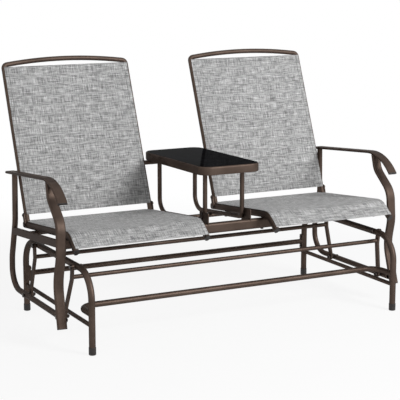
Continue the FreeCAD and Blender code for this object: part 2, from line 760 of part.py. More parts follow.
def cross_rail_end_x():
    """Where the cross rails meet the arm rails."""
    return SIDE_FRAME_X - ARM_RAIL_WIDTH / 2 - WELD_GAP


def front_rail_tube():
    """The box tube under the front of both seats."""
    end_x = cross_rail_end_x()
    z = FRONT_RAIL_TOP_Z - FRONT_RAIL_HEIGHT / 2
    return Tube([vec(-end_x, FRONT_RAIL_Y, z), vec(end_x, FRONT_RAIL_Y, z)], (), THIN_WALL,
                FRONT_RAIL_DEPTH, FRONT_RAIL_HEIGHT, FRONT_RAIL_ROUND, Y_AXIS)


def rear_rail_tube():
    """The round tube under the rear of both seats."""
    end_x = cross_rail_end_x()
    return Tube([vec(-end_x, REAR_RAIL_Y, REAR_RAIL_Z), vec(end_x, REAR_RAIL_Y, REAR_RAIL_Z)], (),
                THIN_WALL, REAR_RAIL_D)


def seat_rail_xs():
    """Name and X of each seat rail."""
    rails = []
    for chair, side in SIDES:
        for place, way in (("inner", -1), ("outer", 1)):
            rails.append((f"{chair}_{place}", side * (CHAIR_X + way * RAIL_HALF_SPREAD), side * way))
    return rails


def seat_bolt_seats(rail_y, rail_low_z):
    """Bolt seats under one cross rail, one below each seat rail."""
    return [(vec(x, rail_y, rail_low_z - WELD_GAP), Z_AXIS * -1) for _, x, _ in seat_rail_xs()]


def front_bolt_seats():
    """Bolts from below through the front cross rail."""
    return seat_bolt_seats(FRONT_RAIL_Y, FRONT_RAIL_TOP_Z - FRONT_RAIL_HEIGHT)


def rear_bolt_seats():
    """Bolts from below through the rear cross rail."""
    return seat_bolt_seats(REAR_RAIL_Y, REAR_RAIL_Z - REAR_RAIL_D / 2)


FRONT_SEAT_SHANK = FRONT_RAIL_HEIGHT + SEAT_TUBE_HEIGHT / 2
REAR_SEAT_SHANK = REAR_RAIL_D + SEAT_TUBE_HEIGHT / 2


def seat_bolt_holes():
    """What the seat bolts need cut away."""
    holes = [bolt_hole(seat, outward, FRONT_SEAT_SHANK) for seat, outward in front_bolt_seats()]
    return holes + [bolt_hole(seat, outward, REAR_SEAT_SHANK)
                    for seat, outward in rear_bolt_seats()]


def seat_bolts():
    """Bolts that hold the seat rails down on the cross rails."""
    bolts = [small_bolt(seat, outward, FRONT_SEAT_SHANK) for seat, outward in front_bolt_seats()]
    bolts += [small_bolt(seat, outward, REAR_SEAT_SHANK) for seat, outward in rear_bolt_seats()]
    return group(bolts)


# Seats and backs

def seat_rail_tube(x):
    """A seat's side rail, bent down at the front."""
    points = [vec(x, SEAT_REAR_Y, SEAT_REAR_Z), vec(x, SEAT_CREST_Y, SEAT_CREST_Z),
              vec(x, SEAT_TIP_Y, SEAT_TIP_Z)]
    return Tube(points, (SEAT_BEND_R,), THIN_WALL, SEAT_TUBE_WIDTH, SEAT_TUBE_HEIGHT,
                SEAT_TUBE_WIDTH / 2)


def back_tube(side):
    """One chair's back: side tubes joined by an arched top rail."""
    foot_y, foot_z = back_foot()
    middle_x = side * CHAIR_X
    corner_y = back_y(BACK_CORNER_Z)
    apex = vec(middle_x, corner_y, BACK_CORNER_Z) + BACK_UP * (2 * BACK_ARCH_RISE)
    left = middle_x - RAIL_HALF_SPREAD
    right = middle_x + RAIL_HALF_SPREAD
    points = [vec(left, foot_y, foot_z), vec(left, corner_y, BACK_CORNER_Z), apex,
              vec(right, corner_y, BACK_CORNER_Z), vec(right, foot_y, foot_z)]
    half_turn = math.atan2(2 * BACK_ARCH_RISE, RAIL_HALF_SPREAD)
    corner_reach = BACK_CORNER_R * math.tan((math.pi / 2 + half_turn) / 2)
    top_run = math.hypot(RAIL_HALF_SPREAD, 2 * BACK_ARCH_RISE)
    arch_r = (top_run - corner_reach - WELD_GAP) / math.tan(half_turn)
    return Tube(points, (BACK_CORNER_R, arch_r, BACK_CORNER_R), THIN_WALL, BACK_TUBE_D)


def bracket_points():
    """The two bolt places of a back bracket, as (y, z): on the seat rail and on the back."""
    low = (BRACKET_LOW_Y, line_z(BRACKET_LOW_Y, SEAT_REAR, SEAT_CREST))
    return [low, (back_y(BRACKET_TOP_Z), BRACKET_TOP_Z)]


def bracket_seats():
    """Seat and outward direction of each bolt in the back brackets."""
    seats = []
    for _, x, way in seat_rail_xs():
        outer_x = x + way * (SEAT_TUBE_WIDTH / 2 + WELD_GAP + BRACKET_THICK)
        seats += [(vec(outer_x, y, z), X_AXIS * way) for y, z in bracket_points()]
    return seats


BRACKET_SHANK = BRACKET_THICK + SEAT_TUBE_WIDTH / 2 + BOLT_PAST_MIDDLE


def bracket_holes():
    """What the back bolts need cut away."""
    return [bolt_hole(seat, outward, BRACKET_SHANK) for seat, outward in bracket_seats()]


def back_brackets():
    """Flat plates with round ends that join each back tube to its seat rail."""
    plates = []
    low, high = [vec(0, y, z) for y, z in bracket_points()]
    along = unit(high - low)
    across = X_AXIS.cross(along)
    length = (high - low).Length + BRACKET_WIDTH
    for _, x, way in seat_rail_xs():
        centre = at_x((low + high) * 0.5, x + way * (SEAT_TUBE_WIDTH / 2 + WELD_GAP))
        outline = rounded_wire(centre, along, across, length, BRACKET_WIDTH, BRACKET_WIDTH / 2)
        plates.append(Part.Face(outline).extrude(X_AXIS * (way * BRACKET_THICK)))
    return group([cut_all(plate, bracket_holes()) for plate in plates])


def back_bolts():
    """Bolts through the back brackets."""
    return group([small_bolt(seat, outward, BRACKET_SHANK) for seat, outward in bracket_seats()])


def seat_rail(x):
    """A seat rail, drilled for the bolts that cross it."""
    return cut_all(seat_rail_tube(x).hollow(), seat_bolt_holes() + bracket_holes())


def back_frame(side):
    """A back, standing on its seat rails."""
    rails = [seat_rail_tube(side * CHAIR_X + way * RAIL_HALF_SPREAD) for way in (-1, 1)]
    return largest(coped(back_tube(side), rails, bracket_holes() + [arm_stud_hole(side)]))


def sling_width(tube_width):
    """Width of a panel whose outer face is level with the tubes that hold it."""
    tube_r = tube_width / 2
    half_chord = math.sqrt(tube_r ** 2 - (tube_r - SLING_THICK) ** 2)
    return 2 * (RAIL_HALF_SPREAD - half_chord - SLING_GAP)


def sling_offset(tube_height):
    """From the tubes' middle lines to the middle of the panel that they hold."""
    return (tube_height - SLING_THICK) / 2


def back_sling(side):
    """The panel between the side tubes of a back, level with their fronts."""
    length = (BACK_SLING_TOP_Z - BACK_SLING_LOW_Z) / math.cos(LEAN)
    low = vec(side * CHAIR_X, back_y(BACK_SLING_LOW_Z), BACK_SLING_LOW_Z)
    outline = rounded_wire(low + BACK_FORWARD * sling_offset(BACK_TUBE_D), X_AXIS, BACK_FORWARD,
                           sling_width(BACK_TUBE_D), SLING_THICK, SLING_EDGE_ROUND)
    return Part.Face(outline).extrude(BACK_UP * length)


def seat_sling(side):
    """The panel between the rails of a seat, level with their tops and clear of the back."""
    rear, crest, tip = seat_rail_tube(side * CHAIR_X).points
    backward = unit(rear - crest)
    start = rear - backward * SEAT_SLING_REAR_GAP
    path = bent_path([start, crest, tip + unit(crest - tip) * SEAT_SLING_TIP_GAP], (SEAT_BEND_R,))
    up = vec(0, math.sin(SEAT_SLOPE), math.cos(SEAT_SLOPE))
    section = rounded_wire(start + up * sling_offset(SEAT_TUBE_HEIGHT), X_AXIS, up,
                           sling_width(SEAT_TUBE_WIDTH), SLING_THICK, SLING_EDGE_ROUND)
    panel = path.makePipeShell([section], True, False)
    return largest(panel.cut(back_tube(side).filled(SLING_GAP)))


# Studs between the armrests and the backs

def arm_stud_place(side):
    """Where a stud crosses the middle line of its back tube, at the armrest's height."""
    fall = armrest_z(1) - armrest_z(0)
    lean = math.tan(LEAN)
    y = (back_y(armrest_z(0))) / (1 - fall * lean)
    return vec(side * (CHAIR_X + RAIL_HALF_SPREAD), y, armrest_z(y))


def arm_stud_length():
    """From the back tube's middle line into the armrest."""
    inner_x = ARMREST_X - ARMREST_WIDTH / 2
    return inner_x - (CHAIR_X + RAIL_HALF_SPREAD) + ARM_STUD_OVERRUN


def arm_stud_hole(side):
    """What a stud needs cut away."""
    return cylinder(SMALL_BOLT_D / 2 + HOLE_FIT, arm_stud_place(side), X_AXIS * side,
                    arm_stud_length() + SPARE)


def arm_studs():
    """Studs that join each armrest to the back beside it."""
    return group([cylinder(SMALL_BOLT_D / 2, arm_stud_place(side), X_AXIS * side,
                           arm_stud_length()) for _, side in SIDES])


def arm_spacers():
    """Sleeves on the studs, between back tube and armrest."""
    sleeves = []
    for _, side in SIDES:
        place = arm_stud_place(side)
        sleeve = ring(ARM_SPACER_D, SMALL_BOLT_D + 2 * HOLE_FIT, place, X_AXIS * side,
                      ARMREST_X - abs(place.x))
        sleeve = sleeve.cut(back_tube(side).filled(WELD_GAP))
        sleeves.append(largest(sleeve.cut(armrest_tube(side).filled(WELD_GAP))))
    return group(sleeves)


def armrest(side):
    """An armrest, drilled for its stud."""
    return largest(armrest_tube(side).hollow().cut(arm_stud_hole(side)))


# Tube end caps

def oval_cap(end, outward, width, height, wall):
    """A cover over a flat oval tube's end, with a plug inside it."""
    up = unit(outward.cross(X_AXIS))
    start = end + outward * WELD_GAP
    corner = min(width, height) / 2
    inset = wall + PLUG_FIT
    cover = Part.Face(rounded_wire(start, X_AXIS, up, width, height, corner))
    plug = Part.Face(rounded_wire(start, X_AXIS, up, width - 2 * inset, height - 2 * inset,
                                  corner - inset))
    return cover.extrude(outward * CAP_THICK).fuse(plug.extrude(outward * -CAP_PLUG_LENGTH))


def end_caps():
    """Plastic caps in the open ends of the seat rails, armrests and arm legs."""
    caps = []
    for _, x, _ in seat_rail_xs():
        rear, crest, tip = seat_rail_tube(x).points
        for end in (rear, tip):
            caps.append(oval_cap(end, unit(end - crest), SEAT_TUBE_WIDTH, SEAT_TUBE_HEIGHT,
                                 THIN_WALL))
    for _, side in SIDES:
        rear, crest, tip = armrest_tube(side).points
        for end in (rear, tip):
            caps.append(oval_cap(end, unit(end - crest), ARMREST_WIDTH, ARMREST_THICK, OVAL_WALL))
        calf, toe = arm_leg_tube(side).points[-2:]
        cap = oval_cap(toe, unit(toe - calf), ARM_LEG_WIDTH, ARM_LEG_THICK, OVAL_WALL)
        caps.append(splayed(cap, side))
    return group(caps)


# Table

def table_placed(shape):
    """A table piece drawn level round its own middle, moved and tilted into place."""
    placed = shape.copy()
    placed.rotate(ORIGIN, X_AXIS, -TABLE_TILT)
    placed.translate(vec(0, TABLE_MIDDLE_Y, TABLE_TOP_Z))
    return placed


def table_slab(inset, low, high):
    """A level slab of the table's outline drawn in by inset, between two depths under its top."""
    wire = rounded_wire(vec(0, 0, -low), X_AXIS, Y_AXIS, TABLE_WIDTH - 2 * inset,
                        TABLE_LENGTH - 2 * inset, TABLE_CORNER_R - inset)
    return Part.Face(wire).extrude(Z_AXIS * (low - high))


GLASS_SEAT = GLASS_THICK + PAD_THICK + 2 * WELD_GAP


def table_frame():
    """The apron, with a ledge that holds the glass."""
    ring_shape = table_slab(0, APRON_HEIGHT, 0)
    ring_shape = ring_shape.cut(table_slab(APRON_LIP, GLASS_SEAT, -SPARE))
    return table_placed(ring_shape.cut(table_slab(APRON_THICK, APRON_HEIGHT + SPARE, -SPARE)))


def table_glass():
    """The dark glass, level with the apron's upper edge."""
    return table_placed(table_slab(APRON_LIP + GLASS_GAP, GLASS_THICK, 0))


def table_pads():
    """Rubber pads between ledge and glass."""
    pads = []
    ledge_middle = (APRON_LIP + GLASS_GAP + APRON_THICK) / 2
    half_width = TABLE_WIDTH / 2 - ledge_middle
    half_length = TABLE_LENGTH / 2 - TABLE_CORNER_R
    low = -(GLASS_SEAT - WELD_GAP)
    for x in (-half_width, half_width):
        for y in (-half_length, 0, half_length):
            corner = vec(x - PAD_SIZE / 2, y - PAD_SIZE / 2, low)
            pads.append(table_placed(Part.makeBox(PAD_SIZE, PAD_SIZE, PAD_THICK, corner)))
    return group(pads)


def table_bar_box(y):
    """A flat bar across the table under the glass, above a pair of table legs."""
    low = -(GLASS_SEAT + TABLE_BAR_THICK)
    half = TABLE_WIDTH / 2 - APRON_THICK - WELD_GAP
    corner = vec(-half, y - TABLE_MIDDLE_Y - TABLE_BAR_WIDTH / 2, low)
    return table_placed(Part.makeBox(2 * half, TABLE_BAR_WIDTH, TABLE_BAR_THICK, corner))


def table_crossbars():
    """Bars between the long sides of the apron, which rest on the table legs."""
    return group([table_bar_box(TABLE_LEG_FRONT_Y), table_bar_box(TABLE_LEG_REAR_Y)])


def table_leg_tube(x):
    """A U of tube: rear leg, run along the seat slope, front leg."""
    run_z = REAR_RAIL_Z + REAR_RAIL_D / 2 + TABLE_LEG_D / 2 - SADDLE_DEPTH
    slope = math.tan(SEAT_SLOPE)
    rear_z = run_z - (TABLE_LEG_REAR_Y - REAR_RAIL_Y) * slope
    front_z = run_z + (REAR_RAIL_Y - TABLE_LEG_FRONT_Y) * slope
    points = [vec(x, TABLE_LEG_REAR_Y, TABLE_TOP_Z), vec(x, TABLE_LEG_REAR_Y, rear_z),
              vec(x, TABLE_LEG_FRONT_Y, front_z), vec(x, TABLE_LEG_FRONT_Y, TABLE_TOP_Z)]
    return Tube(points, (TABLE_REAR_BEND_R, TABLE_FRONT_BEND_R), THIN_WALL, TABLE_LEG_D)


def clip_face(side):
    """X of the outer face of a table leg's clip, towards the chair."""
    return side * (TABLE_LEG_X + TABLE_LEG_D / 2 + WELD_GAP + CLIP_THICK)


def clip_seats(side):
    """Seat and outward direction of the bolts in a table leg's clip."""
    return [(vec(clip_face(side), TABLE_LEG_FRONT_Y, z), X_AXIS * side)
            for z in (CLIP_BOLT_LOW_Z, CLIP_BOLT_TOP_Z)]


def clip_shank():
    """Length of a clip bolt: through the clip and most of the leg."""
    return CLIP_THICK + TABLE_LEG_D * CLIP_BOLT_SHARE


def clip_holes(side):
    """What the clip bolts need cut away."""
    return [bolt_hole(seat, outward, clip_shank()) for seat, outward in clip_seats(side)]


def table_leg(side):
    """A table leg frame, cut off under the crossbars and notched over the rear cross rail."""
    shape = table_leg_tube(side * TABLE_LEG_X).hollow()
    depth = GLASS_SEAT + TABLE_BAR_THICK + WELD_GAP
    above = table_slab(0, depth, -depth)
    tools = [table_placed(above), rear_rail_tube().filled(WELD_GAP)]
    tools.append(back_bar_tube().filled(WELD_GAP))
    return largest(cut_all(shape, tools + clip_holes(side)))


def table_clips():
    """Plates welded over the front cross rail and bolted to the table legs."""
    clips = []
    rail = front_rail_tube().filled(WELD_GAP)
    for _, side in SIDES:
        outer = clip_face(side)
        inner = outer - side * CLIP_THICK
        front_y = FRONT_RAIL_Y - FRONT_RAIL_DEPTH / 2
        plate = Part.makeBox(CLIP_THICK, CLIP_WIDTH, CLIP_TOP_Z - CLIP_LOW_Z,
                             vec(min(inner, outer), front_y, CLIP_LOW_Z))
        corners = [edge for edge in plate.Edges if abs(edge.tangentAt(0).x) > 1 - TINY]
        plate = plate.makeFillet(CLIP_THICK, corners)
        clips.append(largest(cut_all(plate, [rail] + clip_holes(side))))
    return group(clips)


def table_bolts():
    """Bolts that hold the table legs to their clips."""
    return group([small_bolt(seat, outward, clip_shank())
                  for _, side in SIDES for seat, outward in clip_seats(side)])


def back_bar_tube():
    """The bar behind the table, between the inner side tubes of the two backs."""
    tilt = math.radians(TABLE_TILT)
    level = TABLE_TOP_Z - APRON_HEIGHT - TABLE_REAR_BAR_D / 2
    drop = (back_y(level) - TABLE_MIDDLE_Y) * math.tan(tilt) + APRON_HEIGHT
    z = TABLE_TOP_Z - drop - TABLE_REAR_BAR_D / 2 - 2 * WELD_GAP
    end_x = CHAIR_X - RAIL_HALF_SPREAD
    y = back_y(z)
    return Tube([vec(-end_x, y, z), vec(end_x, y, z)], (), THIN_WALL, TABLE_REAR_BAR_D)


def table_rear_bar():
    """The bar behind the table, shaped at its ends to the back tubes."""
    return coped(back_bar_tube(), [back_tube(side) for _, side in SIDES])


def build_parts():
    """Every node by name."""
    parts = {
        "front_stretcher": coped(front_stretcher_tube(), [end_frame(side) for _, side in SIDES]),
        "rear_stretcher": rear_stretcher(),
        "stretcher_end_plates": stretcher_end_plates(),
        "stretcher_bolts": stretcher_bolts(),
        "foot_caps": foot_caps(),
        "upper_pivot_bolts": upper_pivot_bolts(),
        "upper_pivot_nuts": upper_pivot_nuts(),
        "upper_pivot_washers": upper_pivot_washers(),
        "lower_pivot_bolts": lower_pivot_bolts(),
        "lower_pivot_nuts": lower_pivot_nuts(),
        "lower_pivot_washers": lower_pivot_washers(),
        "front_crossbar": crossbar(UPPER_FRONT_Y, LOWER_FRONT_Y, FRONT_CROSSBAR_Z),
        "rear_crossbar": crossbar(UPPER_REAR_Y, LOWER_REAR_Y, REAR_CROSSBAR_Z),
        "front_link_bushes": link_bushes(UPPER_FRONT_Y, LOWER_FRONT_Y, OPEN_EYE_BORE),
        "rear_link_bushes": link_bushes(UPPER_REAR_Y, LOWER_REAR_Y, PIVOT_BOLT_D + 2 * BUSH_FIT),
        "front_cross_rail": cut_all(front_rail_tube().hollow(), seat_bolt_holes()),
        "rear_cross_rail": cut_all(rear_rail_tube().hollow(), seat_bolt_holes()),
        "seat_bolts": seat_bolts(),
        "back_brackets": back_brackets(),
        "back_bolts": back_bolts(),
        "arm_studs": arm_studs(),
        "arm_spacers": arm_spacers(),
        "end_caps": end_caps(),
        "table_frame": table_frame(),
        "table_glass": table_glass(),
        "table_pads": table_pads(),
        "table_crossbars": table_crossbars(),
        "table_clips": table_clips(),
        "table_bolts": table_bolts(),
        "table_rear_bar": table_rear_bar(),
    }
    for name, x, _ in seat_rail_xs():
        parts[f"seat_rail_{name}"] = seat_rail(x)
    for name, side in SIDES:
        parts[f"base_frame_{name}"] = base_frame(side)
        parts[f"side_stretcher_{name}"] = side_stretcher(side)
        parts[f"front_link_{name}"] = link_solid(side, UPPER_FRONT_Y, LOWER_FRONT_Y)
        parts[f"rear_link_{name}"] = link_solid(side, UPPER_REAR_Y, LOWER_REAR_Y)
        parts[f"side_frame_{name}"] = side_frame(side)
        parts[f"armrest_{name}"] = armrest(side)
        parts[f"arm_leg_{name}"] = arm_leg(side)
        parts[f"arm_rail_{name}"] = arm_rail(side)
        parts[f"back_frame_{name}"] = back_frame(side)
        parts[f"back_sling_{name}"] = back_sling(side)
        parts[f"seat_sling_{name}"] = seat_sling(side)
        parts[f"table_leg_{name}"] = table_leg(side)
    return parts


def main():
    """Build every node, centre the whole over its footprint and write the files."""
    os.makedirs("parts", exist_ok=True)
    parts = build_parts()
    box = FreeCAD.BoundBox()
    for shape in parts.values():
        box.add(shape.optimalBoundingBox(False, False))
    shift = vec(-(box.XMin + box.XMax) / 2, -(box.YMin + box.YMax) / 2, -box.ZMin)
    for name, shape in sorted(parts.items()):
        shape.translate(shift)
        shape.exportStep(f"parts/{name}.step")
    print(f"{len(parts)} nodes, size {box.XLength:.1f} x {box.YLength:.1f} x {box.ZLength:.1f}")
    print(f"shift {shift.x:.3f} {shift.y:.3f} {shift.z:.3f}")


main()
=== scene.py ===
"""Looks of the glider bench: finishes for its tubes, glass and fittings, and its four slings.

All lengths are in metres. +X runs along the bench, -Y is the front and +Z is up. Sizes that the
frame was drawn with count Y from midway between the base legs; Datum.place moves them here.
"""

from __future__ import annotations

import json
import logging
import math
from dataclasses import dataclass, field
from enum import Enum
from typing import Any, Sequence

import bpy
import numpy as np
from numpy.typing import NDArray
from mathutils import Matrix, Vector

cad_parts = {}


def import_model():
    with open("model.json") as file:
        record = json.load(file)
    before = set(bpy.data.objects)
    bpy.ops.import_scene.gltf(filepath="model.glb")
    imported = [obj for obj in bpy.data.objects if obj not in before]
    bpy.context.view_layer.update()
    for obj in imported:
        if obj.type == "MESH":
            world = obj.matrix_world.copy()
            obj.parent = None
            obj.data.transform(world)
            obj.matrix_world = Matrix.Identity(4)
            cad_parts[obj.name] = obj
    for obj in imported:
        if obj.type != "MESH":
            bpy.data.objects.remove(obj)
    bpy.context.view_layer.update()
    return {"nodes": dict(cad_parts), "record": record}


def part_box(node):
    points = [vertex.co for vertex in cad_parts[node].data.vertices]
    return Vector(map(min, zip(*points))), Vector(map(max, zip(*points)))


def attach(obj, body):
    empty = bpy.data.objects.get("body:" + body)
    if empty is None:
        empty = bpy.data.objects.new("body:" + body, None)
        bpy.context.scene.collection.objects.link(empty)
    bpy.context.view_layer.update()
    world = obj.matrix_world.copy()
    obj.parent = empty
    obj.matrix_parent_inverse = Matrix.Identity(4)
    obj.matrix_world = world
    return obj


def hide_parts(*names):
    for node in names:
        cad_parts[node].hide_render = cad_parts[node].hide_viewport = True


Array = NDArray[np.float64]
Stops = tuple[tuple[float, str], ...]
LOG = logging.getLogger("glider_bench")

MM_PER_METRE = 1000.0
RAMP_MIDDLE = 0.5            # where a ramp's further stops are made, before each gets its place
ARC_SAMPLES = 25             # points along the arc of a bend
MIX_COLOUR_A = 6             # a Mix node's colour sockets by place, as their names repeat
MIX_COLOUR_B = 7
MIX_COLOUR_RESULT = 2

LEAN_DEGREES = 21.8          # how far the backs lean from upright
BACK_PASS = (0.243, 0.410)   # Y and Z of a point on the middle line of the backs' side tubes
BACK_TUBE_R = 0.0095
CHAIR_X = 0.407              # a chair's middle, from the bench's middle
HALF_SPREAD = 0.259          # a tube's middle line, from its chair's middle
SEAT_REAR = (0.254, 0.3628)  # Y and Z along the middle line of a seat rail
SEAT_CREST = (-0.200, 0.4064)
SEAT_TIP = (-0.262, 0.358)
SEAT_ROUND_R = 0.0095        # the round top of an oval seat rail
SEAT_RISE = 0.004            # from that round's middle down to the rail's middle line
TABLE_TOP_Z = 0.603
TABLE_MIDDLE_Y = 0.0795
TABLE_HEIGHT = 0.033
TABLE_TILT_DEGREES = 0.9


class Side(Enum):
    """An end of the bench, with its direction along X."""

    LEFT = -1
    RIGHT = 1

    @property
    def label(self) -> str:
        """The side's name inside node names."""
        return self.name.lower()


def linear(hex_colour: str) -> tuple[float, float, float, float]:
    """Turns an sRGB colour into the linear values that shaders take.

    Args:
        hex_colour: Six hexadecimal digits, two for each of red, green and blue.

    Returns:
        Red, green, blue and an alpha of 1. Each channel is c / 12.92 below 0.04045, and
        ((c + 0.055) / 1.055) to the power 2.4 above.
    """
    parts = [int(hex_colour[i:i + 2], 16) / 255 for i in (0, 2, 4)]
    red, green, blue = (c / 12.92 if c <= 0.04045 else ((c + 0.055) / 1.055) ** 2.4
                        for c in parts)
    return red, green, blue, 1.0


class Graph:
    """A material's node tree, with one short way to add a node."""

    def __init__(self, tree: bpy.types.NodeTree) -> None:
        """Clears the tree."""
        self.tree = tree
        tree.nodes.clear()

    def add(self, kind: str, inputs: dict[str | int, Any] | None = None, stops: Stops = (),
            **settings: Any) -> bpy.types.Node:
        """Adds a node with its settings and its links.

        Args:
            kind: The node's type without the prefix ShaderNode.
            inputs: For each input, by name or place, a socket or a node to join, or a value. A
                node stands for its first output.
            stops: The places and sRGB colours along a colour ramp.
            settings: The node's own properties.

        Returns:
            The node.
        """
        node = self.tree.nodes.new("ShaderNode" + kind)
        for name, value in settings.items():
            setattr(node, name, value)
        for key, value in (inputs or {}).items():
            source = value.outputs[0] if isinstance(value, bpy.types.Node) else value
            if isinstance(source, bpy.types.NodeSocket):
                self.tree.links.new(source, node.inputs[key])
            else:
                node.inputs[key].default_value = source
        if stops:
            elements = node.color_ramp.elements
            while len(elements) < len(stops):
                elements.new(RAMP_MIDDLE)
            for element, (place, colour) in zip(elements, stops):
                element.position = place
                element.color = linear(colour)
        return node


def new_material(name: str) -> tuple[bpy.types.Material, Graph]:
    """A material with an empty node tree."""
    material = bpy.data.materials.new(name)
    material.use_nodes = True
    return material, Graph(material.node_tree)


@dataclass(frozen=True)
class PowderCoat:
    """Brown metallic powder coat, sprayed and baked on steel tube.

    To the eye it is a satin dark brown with soft, broad highlights. The flake is drawn 0.7 mm
    wide, many times its real size, because real flake is too fine to show.
    """

    name: str = "powder_coat_brown_metallic"
    tones: Stops = ((0.2, "433831"), (0.5, "50443d"), (0.85, "5f5149"))
    rim: str = "12100f"
    flake_mm: float = 0.7
    peel_mm: float = 3.0
    cloud_mm: float = 60.0
    cloud_share: float = 0.75
    flake_share: float = 0.35
    bump_strength: float = 0.12
    bump_height: float = 0.0003
    metallic: float = 0.6
    roughness: tuple[float, float] = (0.42, 0.52)

    def make(self) -> bpy.types.Material:
        """Flake tints the colour, slow clouds vary it, and an orange-peel ripple bumps it."""
        material, g = new_material(self.name)
        place = g.add("TexCoord").outputs["Object"]
        cloud = g.add("TexNoise", {"Vector": place, "Scale": MM_PER_METRE / self.cloud_mm,
                                   "Detail": 2.0})
        flake = g.add("TexVoronoi", {"Vector": place, "Scale": MM_PER_METRE / self.flake_mm})
        broad = g.add("Math", {0: cloud, 1: self.cloud_share}, operation="MULTIPLY")
        fine = g.add("Math", {0: flake, 1: self.flake_share}, operation="MULTIPLY")
        mixed = g.add("Math", {0: broad, 1: fine}, operation="ADD")
        colour = g.add("ValToRGB", {0: mixed}, self.tones)
        peel = g.add("TexNoise", {"Vector": place, "Scale": MM_PER_METRE / self.peel_mm,
                                  "Detail": 1.0})
        bump = g.add("Bump", {"Height": peel, "Strength": self.bump_strength,
                              "Distance": self.bump_height})
        low, high = self.roughness
        rough = g.add("MapRange", {"Value": peel, "To Min": low, "To Max": high})
        shader = g.add("BsdfPrincipled", {"Base Color": colour, "Metallic": self.metallic,
                                          "Specular Tint": linear(self.rim),
                                          "Roughness": rough, "Normal": bump})
        g.add("OutputMaterial", {"Surface": shader})
        return material


@dataclass(frozen=True)
class DarkZinc:
    """Dark zinc plate on bolts and nuts: to the eye a dull, near-black metal with a fine grain."""

    name: str = "dark_zinc_plate"
    tones: Stops = ((0.3, "241f1d"), (0.7, "3d3633"))
    grain_mm: float = 1.2
    bump_strength: float = 0.1
    bump_height: float = 0.0002
    metallic: float = 0.85
    roughness: tuple[float, float] = (0.3, 0.5)

    def make(self) -> bpy.types.Material:
        """Fine noise varies the plating's tone and its gloss."""
        material, g = new_material(self.name)
        place = g.add("TexCoord").outputs["Object"]
        grain = g.add("TexNoise", {"Vector": place, "Scale": MM_PER_METRE / self.grain_mm,
                                   "Detail": 3.0})
        colour = g.add("ValToRGB", {0: grain}, self.tones)
        bump = g.add("Bump", {"Height": grain, "Strength": self.bump_strength,
                              "Distance": self.bump_height})
        low, high = self.roughness
        rough = g.add("MapRange", {"Value": grain, "To Min": low, "To Max": high})
        shader = g.add("BsdfPrincipled", {"Base Color": colour, "Metallic": self.metallic,
                                          "Roughness": rough, "Normal": bump})
        g.add("OutputMaterial", {"Surface": shader})
        return material


@dataclass(frozen=True)
class MouldedPlastic:
    """Moulded plastic or rubber: to the eye a matt near-black with a faint grain."""

    name: str
    dark: str
    light: str
    grain_mm: float = 0.8
    roughness: tuple[float, float] = (0.45, 0.6)
    patch_mm: float = 25.0
    patch_places: tuple[float, float] = (0.35, 0.65)
    bump_strength: float = 0.2
    bump_height: float = 0.0002

    def make(self) -> bpy.types.Material:
        """A fine grain bumps the surface, and slow noise varies its tone."""
        material, g = new_material(self.name)
        place = g.add("TexCoord").outputs["Object"]
        grain = g.add("TexNoise", {"Vector": place, "Scale": MM_PER_METRE / self.grain_mm,
                                   "Detail": 2.0})
        slow = g.add("TexNoise", {"Vector": place, "Scale": MM_PER_METRE / self.patch_mm,
                                  "Detail": 1.0})
        first, last = self.patch_places
        colour = g.add("ValToRGB", {0: slow}, ((first, self.dark), (last, self.light)))
        bump = g.add("Bump", {"Height": grain, "Strength": self.bump_strength,
                              "Distance": self.bump_height})
        low, high = self.roughness
        rough = g.add("MapRange", {"Value": grain, "To Min": low, "To Max": high})
        shader = g.add("BsdfPrincipled", {"Base Color": colour, "Normal": bump,
                                          "Roughness": rough})
        g.add("OutputMaterial", {"Surface": shader})
        return material


@dataclass(frozen=True)
class TintedGlass:
    """Black tinted tempered glass, float-polished: to the eye a deep black with faint streaks.

    Real glass has an IOR of about 1.5. It was matched down to 1.008, because gloss sees a plain
    white room here and would turn the black to grey.
    """

    name: str = "black_tinted_glass"
    tones: Stops = ((0.3, "0c0c0e"), (0.7, "17181b"))
    streak_mm: tuple[float, float] = (30.0, 500.0)
    ior: float = 1.008
    roughness: tuple[float, float] = (0.04, 0.09)

    def make(self) -> bpy.types.Material:
        """Long streaks from front to back vary the tint and the polish a little."""
        material, g = new_material(self.name)
        place = g.add("TexCoord").outputs["Object"]
        across, along = (MM_PER_METRE / size for size in self.streak_mm)
        stretched = g.add("Mapping", {"Vector": place, "Scale": (across, along, along)})
        streak = g.add("TexNoise", {"Vector": stretched, "Scale": 1.0, "Detail": 2.0})
        colour = g.add("ValToRGB", {0: streak}, self.tones)
        low, high = self.roughness
        rough = g.add("MapRange", {"Value": streak, "To Min": low, "To Max": high})
        shader = g.add("BsdfPrincipled", {"Base Color": colour, "IOR": self.ior,
                                          "Roughness": rough})
        g.add("OutputMaterial", {"Surface": shader})
        return material


